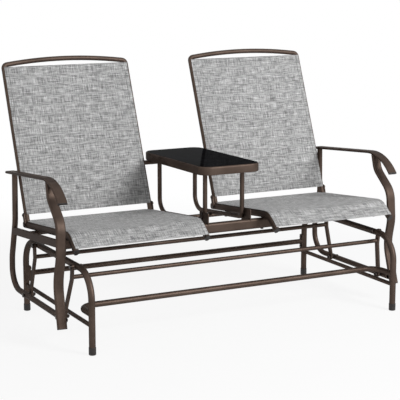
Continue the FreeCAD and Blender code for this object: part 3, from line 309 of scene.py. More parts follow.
@dataclass(frozen=True)
class SlingMesh:
    """Woven mesh of coated heather-grey yarn, on a UV map in metres.

    To the eye it is a matt grey crossed by short light and dark dashes. The yarns, 1.1 mm
    apart, are too fine to show in the whole view. So the slubs, which are the light and dark
    lengths of yarn, are drawn 1.9 mm wide and 40 mm long, as coarse as they need to show.
    The stitch rows at the hems and a line along each side are painted darker: painted shade
    in the stitch dips and in the crease where the cloth leaves the tube.
    """

    name: str = "woven_sling_heather_grey"
    tones: Stops = ((0.36, "606060"), (0.44, "848484"), (0.5, "a6a6a6"), (0.57, "c6c6c6"),
                    (0.65, "e6e6e6"))
    # Painted shade: the colour of the hem stitches and of the line along each side, for shade in
    # the stitch dips and in the crease where the cloth leaves the tube.
    stitch_and_crease_shade: str = "767676"
    yarn_mm: float = 1.1
    slub_mm: tuple[float, float] = (1.9, 40.0)
    slub_shift: float = 3.7
    top_share: float = 0.45
    blotch_mm: float = 45.0
    blotch_share: float = 0.06
    hem_mm: tuple[float, float] = (16.0, 19.0)
    hem_half_width: float = 0.0006
    # Painted crease shade: a dark line this far in from each side, where the cloth leaves the
    # tube.
    crease_shade_mm: float = 15.0
    crease_shade_half_width: float = 0.0009
    stitch_mm: float = 4.0
    stitch_level: float = -0.3
    slub_relief: float = 0.6
    seam_relief: float = 3.0
    bump_strength: float = 0.45
    bump_height: float = 0.0004
    roughness: float = 0.72
    sheen: float = 0.15
    sheen_roughness: float = 0.5

    def slubs(self, g: Graph, uv: bpy.types.Node, across: bool) -> bpy.types.Node:
        """Noise drawn out along one set of yarns, so each yarn has light and dark lengths."""
        short, long = (MM_PER_METRE / size for size in self.slub_mm)
        scale = (long, short, 1.0) if across else (short, long, 1.0)
        shift = (0.0, 0.0, self.slub_shift if across else 0.0)
        vector = g.add("Mapping", {"Vector": uv, "Scale": scale, "Location": shift})
        return g.add("TexNoise", {"Vector": vector, "Scale": 1.0, "Detail": 1.5,
                                  "Roughness": 0.6})

    @staticmethod
    def line(g: Graph, distance: bpy.types.NodeSocket, inset_mm: float,
             half_width: float) -> bpy.types.Node:
        """1 where a distance is within half_width of inset_mm, and 0 elsewhere."""
        off = g.add("Math", {0: distance, 1: inset_mm / MM_PER_METRE}, operation="SUBTRACT")
        size = g.add("Math", {0: off}, operation="ABSOLUTE")
        return g.add("Math", {0: size, 1: half_width}, operation="LESS_THAN")

    def stitch_and_crease_marks(self, g: Graph, along: bpy.types.NodeSocket) -> bpy.types.Node:
        """Where the cloth is painted darker: two rows of stitches at each hem, darkened as painted
        shade in their dips, and an unbroken line at each side, painted shade for the crease
        where the cloth leaves the tube.

        Args:
            g: The material's graph.
            along: The place along the hem.

        Returns:
            1 on a stitch or on a side's line, and 0 elsewhere. The distances from the hem and
            from the side are attributes of the piece. A hem's stitch is where a sine along the
            hem is above stitch_level, and a side's line of painted shade is unbroken.
        """
        hem = g.add("Attribute", attribute_name="hem_distance").outputs["Fac"]
        rows = [self.line(g, hem, row, self.hem_half_width) for row in self.hem_mm]
        turns = 2 * math.pi * MM_PER_METRE / self.stitch_mm
        phase = g.add("Math", {0: along, 1: turns}, operation="MULTIPLY")
        wave = g.add("Math", {0: phase}, operation="SINE")
        dash = g.add("Math", {0: wave, 1: self.stitch_level}, operation="GREATER_THAN")
        both = g.add("Math", dict(enumerate(rows)), operation="ADD")
        hems = g.add("Math", {0: both, 1: dash}, operation="MULTIPLY")
        # An unbroken line of painted shade for the crease along each side.
        side = g.add("Attribute", attribute_name="side_distance").outputs["Fac"]
        edge = self.line(g, side, self.crease_shade_mm, self.crease_shade_half_width)
        return g.add("Math", {0: hems, 1: edge}, operation="MAXIMUM")

    def make(self) -> bpy.types.Material:
        """Two sets of yarns cross over and under; each has its own slubs and roundness.

        The yarns' height is the sine of the place along each direction. A checker of the two
        sines says which set lies on top, and that set's slubs give the colour there. The stitch
        rows and the side lines are then given a darker colour, as painted shade.
        """
        material, g = new_material(self.name)
        uv = g.add("UVMap", uv_map="UVMap")
        parts = g.add("SeparateXYZ", {0: uv})
        turns = math.pi * MM_PER_METRE / self.yarn_mm
        phases = [g.add("Math", {0: part, 1: turns}, operation="MULTIPLY")
                  for part in parts.outputs[:2]]
        warp, weft = (g.add("Math", {0: phase}, operation="SINE") for phase in phases)
        checker = g.add("Math", {0: warp, 1: weft}, operation="MULTIPLY")
        over = g.add("Math", {0: checker, 1: 0.0}, operation="GREATER_THAN")
        along = self.slubs(g, uv, across=False)
        across = self.slubs(g, uv, across=True)
        top = g.add("Mix", {"Factor": over, "A": along, "B": across}, data_type="FLOAT")
        total = g.add("Math", {0: along, 1: across}, operation="ADD")
        both = g.add("Math", {0: total, 1: 0.5}, operation="MULTIPLY")
        shown = g.add("Math", {0: top, 1: self.top_share}, operation="MULTIPLY")
        under = g.add("Math", {0: both, 1: 1 - self.top_share}, operation="MULTIPLY")
        yarn = g.add("Math", {0: shown, 1: under}, operation="ADD")
        cells = g.add("Mapping", {"Vector": uv, "Scale": (MM_PER_METRE / self.blotch_mm,) * 3})
        blotch = g.add("TexNoise", {"Vector": cells, "Scale": 1.0, "Detail": 1.0})
        centred = g.add("Math", {0: blotch, 1: 0.5}, operation="SUBTRACT")
        tone = g.add("Math", {0: centred, 1: self.blotch_share}, operation="MULTIPLY")
        mixed = g.add("Math", {0: yarn, 1: tone}, operation="ADD")
        yarns = g.add("ValToRGB", {0: mixed}, self.tones)
        stitch_and_crease_mask = self.stitch_and_crease_marks(g, parts.outputs[0])
        # Painted shade: the stitches and the side lines take the darker colour.
        colour = g.add("Mix", {"Factor": stitch_and_crease_mask, MIX_COLOUR_A: yarns,
                               MIX_COLOUR_B: linear(self.stitch_and_crease_shade)}, data_type="RGBA")
        rounds = [g.add("Math", {0: wave}, operation="ABSOLUTE") for wave in (warp, weft)]
        height = g.add("Math", dict(enumerate(rounds)), operation="MAXIMUM")
        swell = g.add("Math", {0: both, 1: self.slub_relief}, operation="MULTIPLY")
        relief = g.add("Math", {0: height, 1: swell}, operation="ADD")
        dips = g.add("Math", {0: stitch_and_crease_mask, 1: self.seam_relief}, operation="MULTIPLY")
        pressed = g.add("Math", {0: relief, 1: dips}, operation="SUBTRACT")
        bump = g.add("Bump", {"Height": pressed, "Strength": self.bump_strength,
                              "Distance": self.bump_height})
        shader = g.add("BsdfPrincipled", {"Base Color": colour.outputs[MIX_COLOUR_RESULT],
                                          "Roughness": self.roughness,
                                          "Sheen Weight": self.sheen,
                                          "Sheen Roughness": self.sheen_roughness,
                                          "Normal": bump})
        g.add("OutputMaterial", {"Surface": shader})
        return material


def grid_faces(rows: int, columns: int, closed: bool) -> NDArray[np.int64]:
    """The quads of a grid, as the numbers of their four corners counted row by row."""
    row = np.arange(rows if closed else rows - 1)[:, None]
    column = np.arange(columns if closed else columns - 1)[None, :]
    next_row, next_column = (row + 1) % rows, (column + 1) % columns
    return np.stack([row * columns + column, row * columns + next_column,
                     next_row * columns + next_column, next_row * columns + column],
                    -1).reshape(-1, 4)


def mesh_object(name: str, points: Array, faces: NDArray[np.int64]) -> bpy.types.Object:
    """Makes a smooth mesh from points and quads and links it to the scene."""
    mesh = bpy.data.meshes.new(name)
    mesh.from_pydata(points.reshape(-1, 3), [], faces.tolist())
    mesh.polygons.foreach_set("use_smooth", np.ones(len(mesh.polygons), bool))
    mesh.update()
    thing = bpy.data.objects.new(name, mesh)
    bpy.context.scene.collection.objects.link(thing)
    return thing


def grid_mesh(name: str, points: Array, uv: Array | None = None,
              closed: bool = False) -> bpy.types.Object:
    """Makes a mesh of quads from a grid of points.

    Args:
        name: The piece's name.
        points: Points on the grid, rows by columns by 3.
        uv: The same grid of UV values, rows by columns by 2.
        closed: Whether the last row and column join the first.

    Returns:
        The object.
    """
    faces = grid_faces(points.shape[0], points.shape[1], closed)
    thing = mesh_object(name, points, faces)
    if uv is not None:
        layer = thing.data.uv_layers.new(name="UVMap")
        corners = uv.reshape(-1, 2)[faces.reshape(-1)]
        layer.data.foreach_set("uv", corners.astype(np.float32).ravel())
    return thing


def bent_line(corners: Array, radii: Sequence[float], step: float) -> Array:
    """Samples straight runs joined by tangent arcs, at about even spacing.

    Args:
        corners: The run's corner points, n by 2 or 3.
        radii: The arc's radius at each inner corner.
        step: The spacing of the samples.

    Returns:
        Points along the line. At a corner with a half turn h and unit runs a and b away from
        it, an arc of radius r leaves the runs at r * tan(h) from the corner, and its hub is
        the corner plus (a + b) over its length times r / cos(h).
    """
    pieces = [corners[:1]]
    for before, corner, after, radius in zip(corners, corners[1:], corners[2:], radii):
        run_in = (before - corner) / np.linalg.norm(before - corner)
        run_out = (after - corner) / np.linalg.norm(after - corner)
        half = (math.pi - math.acos(float(np.clip(run_in @ run_out, -1, 1)))) / 2
        middle = (run_in + run_out) / np.linalg.norm(run_in + run_out)
        hub = corner + middle * radius / math.cos(half)
        start = corner + run_in * radius * math.tan(half)
        side = (start - hub) / radius
        turn = np.linspace(0, 2 * half, ARC_SAMPLES)[:, None]
        pieces.append(hub + radius * (side * np.cos(turn) - run_in * np.sin(turn)))
    pieces.append(corners[-1:])
    rough = np.concatenate(pieces)
    reach = np.concatenate([[0], np.cumsum(np.linalg.norm(np.diff(rough, axis=0), axis=1))])
    even = np.linspace(0, reach[-1], max(2, round(reach[-1] / step) + 1))
    return np.stack([np.interp(even, reach, axis) for axis in rough.T], -1)


def loops_mesh(name: str, loops: Array) -> bpy.types.Object:
    """Makes one mesh of several closed rings.

    Args:
        name: The piece's name.
        loops: The rings' points, rings by rows by columns by 3, closed both ways.

    Returns:
        The object.
    """
    count, rows, columns = loops.shape[:3]
    offsets = np.arange(count)[:, None, None] * rows * columns
    faces = (grid_faces(rows, columns, True)[None] + offsets).reshape(-1, 4)
    return mesh_object(name, loops, faces)


def thread(points: Array, radius: float, around: int) -> Array:
    """A round bead or thread along a closed loop of points.

    Args:
        points: The loop, n by 3, without its first point again at the end.
        radius: The bead's radius.
        around: How many points go round it.

    Returns:
        A grid n by around by 3. Each ring is the loop's point plus radius times
        (a * cos(t) + b * sin(t)), where a and b are square to the loop's direction.
    """
    along = np.roll(points, -1, 0) - np.roll(points, 1, 0)
    along /= np.linalg.norm(along, axis=1, keepdims=True)
    outward = points - points.mean(0)
    first = np.cross(along, outward)
    first /= np.linalg.norm(first, axis=1, keepdims=True)
    second = np.cross(along, first)
    turn = np.linspace(0, 2 * math.pi, around, endpoint=False)
    ring = (first[:, None] * np.cos(turn)[None, :, None]
            + second[:, None] * np.sin(turn)[None, :, None])
    return points[:, None] + radius * ring


@dataclass
class Datum:
    """Where the drawing's zero line lies in this scene, found from the base's feet."""

    shift_y: float = 0.0

    @classmethod
    def found(cls) -> Datum:
        """Reads the shift from the foot caps, which stand evenly about the zero line."""
        low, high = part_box("foot_caps")
        return cls((low.y + high.y) / 2)

    def place(self, points: Array) -> Array:
        """Moves points from the drawing's Y to the scene's."""
        return points + np.array([0.0, self.shift_y, 0.0])


@dataclass
class Finishes:
    """Every finish of the bench, made once."""

    steel: bpy.types.Material = field(default_factory=lambda: PowderCoat().make())
    zinc: bpy.types.Material = field(default_factory=lambda: DarkZinc().make())
    cap: bpy.types.Material = field(default_factory=lambda: MouldedPlastic(
        "black_cap_plastic", "171210", "221b18").make())
    nylon: bpy.types.Material = field(default_factory=lambda: MouldedPlastic(
        "black_bush_nylon", "1a1a1a", "242424", grain_mm=0.5).make())
    rubber: bpy.types.Material = field(default_factory=lambda: MouldedPlastic(
        "black_pad_rubber", "0f0f0f", "161616", grain_mm=1.0, roughness=(0.6, 0.8)).make())
    glass: bpy.types.Material = field(default_factory=lambda: TintedGlass().make())
    sling: bpy.types.Material = field(default_factory=lambda: SlingMesh().make())

    def of_slot(self, slot: str) -> bpy.types.Material:
        """The finish for a material slot of the record."""
        return {"powder_coated_steel": self.steel, "fastener_steel": self.zinc,
                "cap_plastic": self.cap, "bush_nylon": self.nylon, "pad_rubber": self.rubber,
                "table_glass": self.glass, "sling_fabric": self.sling}[slot]


@dataclass
class Hardware:
    """The nodes that keep their own shapes and only get their finishes."""

    finishes: Finishes

    def dress(self, nodes: dict[str, bpy.types.Object], rows: Sequence[dict[str, str]]) -> None:
        """Gives each node the finish of its slot.

        Args:
            nodes: The nodes by name.
            rows: A node and its material slot in each.
        """
        for row in rows:
            mesh = nodes[row["node"]].data
            mesh.materials.clear()
            mesh.materials.append(self.finishes.of_slot(row["material_slot"]))
        LOG.info("dressed %d nodes", len(rows))


@dataclass
class Sling:
    """A woven panel drawn tight between two tubes, its edges lapped over their round tops."""

    side: Side
    datum: Datum
    finishes: Finishes
    cloth: float = 0.0013
    clearance: float = 0.0004
    lap_degrees: float = 20.0
    lap_samples: int = 9
    lap_allowance: float = 0.006
    step: float = 0.006
    ease_share: float = 0.35
    ease_power: float = 0.7

    def section(self, tube_r: float, dip: Array) -> tuple[Array, Array]:
        """The panel's cross section at each station along its tubes.

        Args:
            tube_r: The tubes' radius.
            dip: How far the middle sags at each station.

        Returns:
            The X from the chair's middle and the height over the tubes' middle plane, each
            stations by samples. Over a tube the cloth is an arc of radius r at angle t from
            the top: x = spread + r * sin(t), height = r * cos(t). Between the tubes it hangs
            by dip * cos(pi * x / (2 * spread)) squared under their tops.
        """
        radius = tube_r + self.clearance + self.cloth / 2
        lap = np.radians(np.linspace(self.lap_degrees, 0, self.lap_samples))
        flat = np.linspace(HALF_SPREAD, -HALF_SPREAD, round(2 * HALF_SPREAD / self.step) + 1)[1:-1]
        arc_x = HALF_SPREAD + radius * np.sin(lap)
        x = np.concatenate([arc_x, flat, -arc_x[::-1]])
        height = np.concatenate([radius * np.cos(lap), np.full(len(flat), radius),
                                 radius * np.cos(lap[::-1])])
        hang = np.cos(np.pi * np.clip(x / HALF_SPREAD, -1, 1) / 2) ** 2
        return (np.broadcast_to(x, (len(dip), len(x))).copy(),
                height[None, :] - dip[:, None] * hang[None, :])

    def panel(self, name: str, line: Array, tube_r: float, dip: Array, rise: float = 0.0,
              reach_x: Array | None = None) -> bpy.types.Object:
        """Carries the cross section along the tubes.

        Args:
            name: The piece's name.
            line: The tubes' middle line as Y and Z, n by 2, in the drawing's Y.
            tube_r: The tubes' radius.
            dip: The sag at each point of the line.
            rise: How far the round tops of oval tubes are centred above their middle line.
            reach_x: How far the cloth may reach from the chair's middle at each point.

        Returns:
            The panel. Its point is the line's point plus the height along the line's normal,
            which is the direction turned a quarter to the sitter's side.
        """
        along = np.gradient(line, axis=0)
        along /= np.linalg.norm(along, axis=1, keepdims=True)
        normal = np.stack([along[:, 1], -along[:, 0]], -1)
        x, height = self.section(tube_r, dip)
        height += rise
        if reach_x is not None:
            x *= np.minimum(1.0, reach_x / x.max(1))[:, None]
        yz = line[:, None] + normal[:, None] * height[:, :, None]
        points = np.concatenate([(x + self.side.value * CHAIR_X)[:, :, None], yz], -1)
        reach = np.concatenate([[0], np.cumsum(np.linalg.norm(np.diff(line, axis=0), axis=1))])
        # A metre to the left or right on the map, so the two chairs get other slubs.
        uv = np.stack([x + self.side.value, np.broadcast_to(reach[:, None], x.shape)], -1)
        thing = grid_mesh(name, self.datum.place(points), uv)
        edge = np.minimum(reach, reach[-1] - reach)[:, None]
        inset = x.max(1)[:, None] - np.abs(x)
        for label, values in (("hem_distance", edge), ("side_distance", inset)):
            layer = thing.data.attributes.new(label, "FLOAT", "POINT")
            layer.data.foreach_set("value",
                                   np.broadcast_to(values, x.shape).astype(np.float32).ravel())
        thing.data.materials.append(self.finishes.sling)
        solid = thing.modifiers.new("thickness", "SOLIDIFY")
        solid.thickness = self.cloth
        solid.offset = 0.0
        return thing

    def flat_width(self) -> float:
        """The cloth's width laid flat, with what laps over each tube."""
        return 2 * (HALF_SPREAD + self.lap_allowance)

    def hemmed(self, length: float, samples: int) -> Array:
        """How much of the sag each station has: none at the hems, all of it in the middle."""
        place = np.linspace(0, length, samples)
        edge = np.minimum(place, length - place)
        return np.clip(edge / (length * self.ease_share), 0, 1) ** self.ease_power


@dataclass
class BackSling(Sling):
    """The panel of a chair's back.

    Its top edge lies about 9 mm above that of its CAD solid, nearer to the photograph's. low_z
    and top_z are heights on the tubes' middle line.
    """

    lap_degrees: float = 8.0
    low_z: float = 0.402
    top_z: float = 0.947
    sag: float = 0.008
    stations: int = 92

    def build(self) -> bpy.types.Object:
        """Returns:
            The panel, riding on the glider.
        """
        tan = math.tan(math.radians(LEAN_DEGREES))
        z = np.linspace(self.top_z, self.low_z, self.stations)
        line = np.stack([BACK_PASS[0] + (z - BACK_PASS[1]) * tan, z], -1)
        length = (self.top_z - self.low_z) * math.hypot(1, tan)
        dip = self.sag * self.hemmed(length, len(z))
        name = f"back_cloth_{self.side.label}"
        thing = self.panel(name, line, BACK_TUBE_R, dip)
        finish_sheet(thing, (self.flat_width(), length),
                     f"back_sling_{self.side.label}")
        return thing


@dataclass
class SeatSling(Sling):
    """The panel of a chair's seat, which follows its rails down in front.

    Behind back_y it reaches only back_inside from the chair's middle, to pass inside the back.
    """

    bend_r: float = 0.060
    back_y: float = 0.2165
    back_inside: float = 0.2485
    rear_gap: float = 0.008
    tip_gap: float = 0.004
    sag: float = 0.010

    def build(self) -> bpy.types.Object:
        """Returns:
            The panel, riding on the glider.
        """
        corners = np.array([SEAT_REAR, SEAT_CREST, SEAT_TIP])
        runs = corners[[0, 2]] - corners[1]
        runs /= np.linalg.norm(runs, axis=1, keepdims=True)
        corners[0] -= runs[0] * self.rear_gap
        corners[2] -= runs[1] * self.tip_gap
        line = bent_line(corners, (self.bend_r,), self.step)
        length = float(np.linalg.norm(np.diff(line, axis=0), axis=1).sum())
        dip = self.sag * self.hemmed(length, len(line))
        name = f"seat_cloth_{self.side.label}"
        reach_x = np.where(line[:, 0] > self.back_y, self.back_inside, np.inf)
        thing = self.panel(name, line, SEAT_ROUND_R, dip, SEAT_RISE, reach_x)
        finish_sheet(thing, (self.flat_width(), length),
                     f"seat_sling_{self.side.label}")
        return thing


@dataclass
class TableApron:
    """The table's rim: a rolled lip round the glass, a flat apron and a ledge inside."""

    datum: Datum
    finishes: Finishes
    width: float = 0.256
    length: float = 0.535
    corner_r: float = 0.045
    thick: float = 0.016
    lip: float = 0.004
    lip_r: float = 0.007
    foot_r: float = 0.002
    edge: float = 0.001
    ledge_z: float = 0.0062
    corner_samples: int = 13
    lip_samples: int = 9
    foot_samples: int = 5

    def outline(self) -> tuple[Array, Array]:
        """The outer outline's points and outward directions, each n by 2.

        A corner's point is its hub plus corner_r times (cos t, sin t), and each straight side
        runs from one corner's last point to the next corner's first.
        """
        half = np.array([self.width, self.length]) / 2 - self.corner_r
        places, outs = [], []
        for quarter in range(4):
            start = quarter * math.pi / 2
            turn = np.linspace(start, start + math.pi / 2, self.corner_samples)
            out = np.stack([np.cos(turn), np.sin(turn)], -1)
            hub = half * np.sign(out[self.corner_samples // 2])
            places.append(hub + self.corner_r * out)
            outs.append(out)
        return np.concatenate(places), np.concatenate(outs)

    def profile(self) -> Array:
        """The rim's section as inset from the outline and height from the top, n by 2.

        The lip is rounded outside by lip_r, through inset r * (1 + cos t) and height
        r * (sin t - 1), up to the lip's width, where it drops straight to the ledge.
        """
        low, r, edge = TABLE_HEIGHT, self.lip_r, self.edge
        roll = np.linspace(math.pi, math.acos(self.lip / r - 1), self.lip_samples)
        head = np.stack([r + r * np.cos(roll), -r + r * np.sin(roll)], -1)
        toe = np.linspace(math.pi * 3 / 2, math.pi, self.foot_samples)
        foot = np.stack([self.foot_r + self.foot_r * np.cos(toe),
                         -low + self.foot_r + self.foot_r * np.sin(toe)], -1)
        inner_lip = np.array([[self.lip, -self.ledge_z / 2], [self.lip, -self.ledge_z]])
        ledge = np.array([[self.thick - edge, -self.ledge_z], [self.thick, -self.ledge_z - edge],
                          [self.thick, edge - low], [self.thick - edge, -low]])
        return np.concatenate([foot, head, inner_lip, ledge])

    def build(self) -> bpy.types.Object:
        """Carries the section round the outline, tilts it and sets it in place.

        Returns:
            The rim, riding on the glider. A point is the outline's point less the inset times
            the outward direction, then turned about X by the tilt.
        """
        place, out = self.outline()
        section = self.profile()
        flat = place[:, None] - section[None, :, :1] * out[:, None]
        z = np.broadcast_to(section[None, :, 1], flat.shape[:2])
        turn = math.radians(TABLE_TILT_DEGREES)
        y = flat[:, :, 1] * math.cos(turn) + z * math.sin(turn)
        up = z * math.cos(turn) - flat[:, :, 1] * math.sin(turn)
        points = np.stack([flat[:, :, 0], y + TABLE_MIDDLE_Y, up + TABLE_TOP_Z], -1)
        thing = grid_mesh("table_apron", self.datum.place(points), closed=True)
        thing.data.materials.append(self.finishes.steel)
        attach(thing, "glider")
        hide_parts("table_frame")
        LOG.info("made %s", thing.name)
        return thing


@dataclass(frozen=True)
class Seam:
    """Where one tube is welded to another.

    The weld lies on the thin tube, whose middle line starts at place and runs along run. The
    other tube's middle line passes place along axis, with radius other_r, or the other face is
    flat, at other_r from place, where flat is true. On an oval tube, rise is how far along run
    its round is centred from place.
    """

    place: tuple[float, float, float]
    run: tuple[float, float, float]
    axis: tuple[float, float, float]
    tube_r: float
    other_r: float
    flat: bool = False
    rise: float = 0.0

    def loop(self, samples: int = 40) -> Array:
        """The line on which both surfaces meet.

        Returns:
            Points n by 3. At angle t round the thin tube the point stands tube_r * cos(t)
            across and tube_r * sin(t) along the other's axis, and other_r, or the root of
            other_r squared less the across part squared, along the run.
        """
        run, axis = np.array(self.run), np.array(self.axis)
        run, axis = run / np.linalg.norm(run), axis / np.linalg.norm(axis)
        axis = axis - run * (axis @ run)
        axis /= np.linalg.norm(axis)
        across = np.cross(run, axis)
        turn = np.linspace(0, 2 * math.pi, samples, endpoint=False)[:, None]
        side = self.tube_r * np.cos(turn)
        depth = (np.full_like(side, self.other_r) if self.flat
                 else np.sqrt(np.maximum(self.other_r ** 2 - side ** 2, 0)))
        return (np.array(self.place) + run * (depth + self.rise) + across * side
                + axis * self.tube_r * np.sin(turn))


@dataclass
class Welds:
    """The beads that join the tubes of the base, the links and the glider.

    A stretcher is given by its height and its radius, and a crossbar by its Y and Z.
    """

    datum: Datum
    finishes: Finishes
    bead_r: float = 0.0013
    bead_sides: int = 6
    leg_x: float = 0.640
    leg_y: float = 0.331
    leg_r: float = 0.012
    side_stretcher: tuple[float, float] = (0.104, 0.008)
    front_stretcher: tuple[float, float] = (0.146, 0.011)
    rear_stretcher: tuple[float, float] = (0.150, 0.0105)
    plate_reach: float = 0.016
    link_x: float = 0.6575
    link_half: float = 0.004
    crossbar_r: float = 0.008
    front_crossbar: tuple[float, float] = (-0.19418, 0.253)
    rear_crossbar: tuple[float, float] = (0.18178, 0.249)
    rear_bar_r: float = 0.009
    rear_bar_gap: float = 0.0002
    post: tuple[float, float, float] = (0.690, 0.294, 0.56201)
    post_run: tuple[float, float, float] = (0.0, 0.0863, -1.0)
    post_r: float = 0.011
    armrest_half: float = 0.005

    def base(self) -> list[Seam]:
        """Stretchers on the legs and on the end plates."""
        stitch_and_crease_marks = []
        upright = (0, 0, 1)
        for side in Side:
            x = side.value * self.leg_x
            z, tube_r = self.side_stretcher
            for way in (-1, 1):
                stitch_and_crease_marks.append(Seam((x, way * self.leg_y, z), (0, -way, 0), upright, tube_r,
                                  self.leg_r))
            z, tube_r = self.front_stretcher
            stitch_and_crease_marks.append(Seam((x, -self.leg_y, z), (0, 1, 0), upright, tube_r, self.leg_r))
            z, tube_r = self.rear_stretcher
            stitch_and_crease_marks.append(Seam((x, self.leg_y, z), (-side.value, 0, 0), upright, tube_r,
                              self.plate_reach, flat=True))
        return stitch_and_crease_marks

    def links(self, crossbar: tuple[float, float]) -> list[Seam]:
        """The ends of one crossbar, flat on its two links."""
        return [Seam((side.value * self.link_x, *crossbar), (-side.value, 0, 0), (0, 0, 1),
                     self.crossbar_r, self.link_half, flat=True) for side in Side]

    def glider(self) -> list[Seam]:
        """Backs on their seat rails, the bar behind the table, and posts under the armrests."""
        lean = math.radians(LEAN_DEGREES)
        up = (0.0, math.sin(lean), math.cos(lean))
        slope = (0.0, SEAT_REAR[0] - SEAT_CREST[0], SEAT_REAR[1] - SEAT_CREST[1])
        stitch_and_crease_marks = []
        for side in Side:
            for way in (-1, 1):
                foot_x = side.value * CHAIR_X + way * HALF_SPREAD
                stitch_and_crease_marks.append(Seam((foot_x, *self.back_foot()), up, slope, BACK_TUBE_R,
                                  SEAT_ROUND_R, rise=SEAT_RISE))
            inner_x = side.value * (CHAIR_X - HALF_SPREAD)
            stitch_and_crease_marks.append(Seam((inner_x, *self.rear_bar()), (-side.value, 0, 0), up,
                              self.rear_bar_r, BACK_TUBE_R))
            stitch_and_crease_marks.append(Seam((side.value * self.post[0], *self.post[1:]), self.post_run,
                              (1, 0, 0), self.post_r, self.armrest_half, flat=True))
        return stitch_and_crease_marks

    @staticmethod
    def back_y(z: float) -> float:
        """Y of the backs' middle line at a height."""
        return BACK_PASS[0] + (z - BACK_PASS[1]) * math.tan(math.radians(LEAN_DEGREES))

    def back_foot(self) -> tuple[float, float]:
        """Y and Z where a back tube's middle line crosses its seat rail's, within 0.2 mm."""
        rise = (SEAT_CREST[1] - SEAT_REAR[1]) / (SEAT_REAR[0] - SEAT_CREST[0])
        z = SEAT_REAR[1] + (SEAT_REAR[0] - self.back_y(SEAT_REAR[1])) * rise
        return self.back_y(z), z

    def rear_bar(self) -> tuple[float, float]:
        """Y and Z of the bar behind the table."""
        tilt = math.tan(math.radians(TABLE_TILT_DEGREES))
        level = TABLE_TOP_Z - TABLE_HEIGHT - self.rear_bar_r
        drop = (self.back_y(level) - TABLE_MIDDLE_Y) * tilt + TABLE_HEIGHT
        z = TABLE_TOP_Z - drop - self.rear_bar_r - self.rear_bar_gap
        return self.back_y(z), z

    def build(self) -> None:
        """Makes one piece of beads for each body that has welds."""
        groups = {"base": self.base(), "front_links": self.links(self.front_crossbar),
                  "rear_links": self.links(self.rear_crossbar), "glider": self.glider()}
        for body, stitch_and_crease_marks in groups.items():
            loops = np.stack([thread(stitch_and_crease_shade.loop(), self.bead_r, self.bead_sides)
                              for stitch_and_crease_shade in stitch_and_crease_marks])
            thing = loops_mesh(f"weld_beads_{body}", self.datum.place(loops))
            thing.data.materials.append(self.finishes.steel)
            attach(thing, body)
            LOG.info("made %s with %d beads", thing.name, len(stitch_and_crease_marks))


def finish_sheet(thing: bpy.types.Object, flat: tuple[float, float], node: str) -> None:
    """Attaches a sling to the glider, hides the node it stands for and logs its flat size."""
    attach(thing, "glider")
    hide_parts(node)
    LOG.info("made %s, cut to %.3f by %.3f m", thing.name, *flat)


@dataclass(frozen=True)
class Lamp:
    """A square soft lamp, its size in metres and its power in watts."""

    name: str
    place: tuple[float, float, float]
    size: float
    power: float


LAMPS = (Lamp("key_lamp", (1.8, -4.0, 2.5), 1.4, 165.0),
         Lamp("fill_lamp", (-3.2, -2.4, 2.4), 2.5, 12.0),
         Lamp("rear_lamp", (0.5, 3.2, 3.0), 2.5, 6.0))


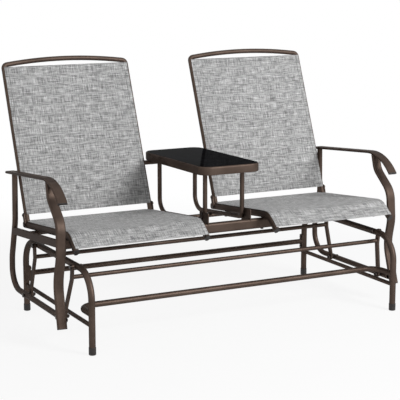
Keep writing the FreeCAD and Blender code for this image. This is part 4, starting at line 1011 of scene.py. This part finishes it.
@dataclass
class Studio:
    """The floor, the light and the camera."""

    camera_place: tuple[float, float, float] = (-2.3577, -4.53325, 1.3984)
    camera_turn: tuple[float, float, float] = (79.284, 0.0, -27.396)
    lens_mm: float = 118.95
    sensor_mm: float = 36.0
    white: str = "ffffff"
    room_light: float = 0.25
    lamp_aim: tuple[float, float, float] = (0.0, 0.0, 0.5)
    floor_size: float = 60.0
    floor_drop: float = 0.0005
    floor_tones: Stops = ((0.3, "fbfbfb"), (0.7, "ffffff"))
    floor_patch_mm: float = 1000.0 / 3
    floor_roughness: float = 0.9
    floor_gloss: float = 0.1
    fade: tuple[float, float] = (1.1, 2.6)
    near_share: float = 0.88

    def world(self) -> None:
        """White behind the object and in its gloss, and a plain grey light from all round."""
        world = bpy.data.worlds.new("studio_world")
        bpy.context.scene.world = world
        world.use_nodes = True
        g = Graph(world.node_tree)
        path = g.add("LightPath").outputs
        gloss = g.add("Math", {0: path["Is Glossy Ray"], 1: path["Is Transmission Ray"]},
                      operation="MAXIMUM")
        seen = g.add("Math", {0: path["Is Camera Ray"], 1: gloss}, operation="MAXIMUM")
        strength = g.add("MapRange", {"Value": seen, "To Min": self.room_light, "To Max": 1.0})
        back = g.add("Background", {"Color": linear(self.white), "Strength": strength})
        g.add("OutputWorld", {"Surface": back})

    def floor(self) -> None:
        """A pale floor that keeps the bench's shadow and is plain white further out.

        The share of plain white rises smoothly from near_share to 1 with the distance from the
        bench's middle, between the fade's two radii.
        """
        half = self.floor_size / 2
        x, y = np.meshgrid([-half, half], [-half, half])
        thing = grid_mesh("studio_floor", np.stack([x, y, np.full_like(x, -self.floor_drop)], -1))
        material, g = new_material("pale_floor")
        place = g.add("TexCoord").outputs["Object"]
        noise = g.add("TexNoise", {"Vector": place, "Scale": MM_PER_METRE / self.floor_patch_mm,
                                   "Detail": 1.0})
        colour = g.add("ValToRGB", {0: noise}, self.floor_tones)
        matt = g.add("BsdfPrincipled", {"Base Color": colour, "Roughness": self.floor_roughness,
                                        "Specular IOR Level": self.floor_gloss})
        glow = g.add("Emission", {"Color": linear(self.white), "Strength": 1.0})
        path = g.add("LightPath").outputs
        seen = g.add("Math", {0: path["Is Camera Ray"], 1: path["Is Glossy Ray"]},
                     operation="MAXIMUM")
        reach = g.add("VectorMath", {0: place}, operation="LENGTH").outputs["Value"]
        near, far = self.fade
        plain = g.add("MapRange", {"Value": reach, "From Min": near, "From Max": far,
                                   "To Min": self.near_share}, interpolation_type="SMOOTHSTEP")
        share = g.add("Math", {0: seen, 1: plain}, operation="MULTIPLY")
        mixed = g.add("MixShader", {0: share, 1: matt, 2: glow})
        g.add("OutputMaterial", {"Surface": mixed})
        thing.data.materials.append(material)

    def light(self, lamp: Lamp) -> None:
        """Places a lamp that faces the bench's middle."""
        data = bpy.data.lights.new(lamp.name, "AREA")
        data.size = lamp.size
        data.energy = lamp.power
        thing = bpy.data.objects.new(lamp.name, data)
        bpy.context.scene.collection.objects.link(thing)
        thing.location = lamp.place
        aim = np.array(self.lamp_aim) - np.array(lamp.place)
        flat = math.hypot(aim[0], aim[1])
        thing.rotation_euler = (math.atan2(flat, -aim[2]), 0.0,
                                math.atan2(aim[1], aim[0]) - math.pi / 2)

    def camera(self) -> None:
        """The camera at the photograph's place and angle."""
        data = bpy.data.cameras.new("studio_camera")
        data.lens = self.lens_mm
        data.sensor_width = self.sensor_mm
        thing = bpy.data.objects.new("studio_camera", data)
        bpy.context.scene.collection.objects.link(thing)
        thing.location = self.camera_place
        thing.rotation_euler = tuple(math.radians(a) for a in self.camera_turn)
        bpy.context.scene.camera = thing

    def build(self) -> None:
        """Sets up everything round the bench."""
        bpy.context.scene.view_settings.view_transform = "Standard"
        self.world()
        self.floor()
        for lamp in LAMPS:
            self.light(lamp)
        self.camera()


def main() -> None:
    """Builds the looks of the bench in order."""
    logging.basicConfig(level=logging.INFO, format="%(name)s: %(message)s")
    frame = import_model()
    datum = Datum.found()
    finishes = Finishes()
    Hardware(finishes).dress(frame["nodes"], frame["record"]["subparts"])
    for side in Side:
        BackSling(side, datum, finishes).build()
        SeatSling(side, datum, finishes).build()
    TableApron(datum, finishes).build()
    Welds(datum, finishes).build()
    Studio().build()


if __name__ == "__main__":
    main()
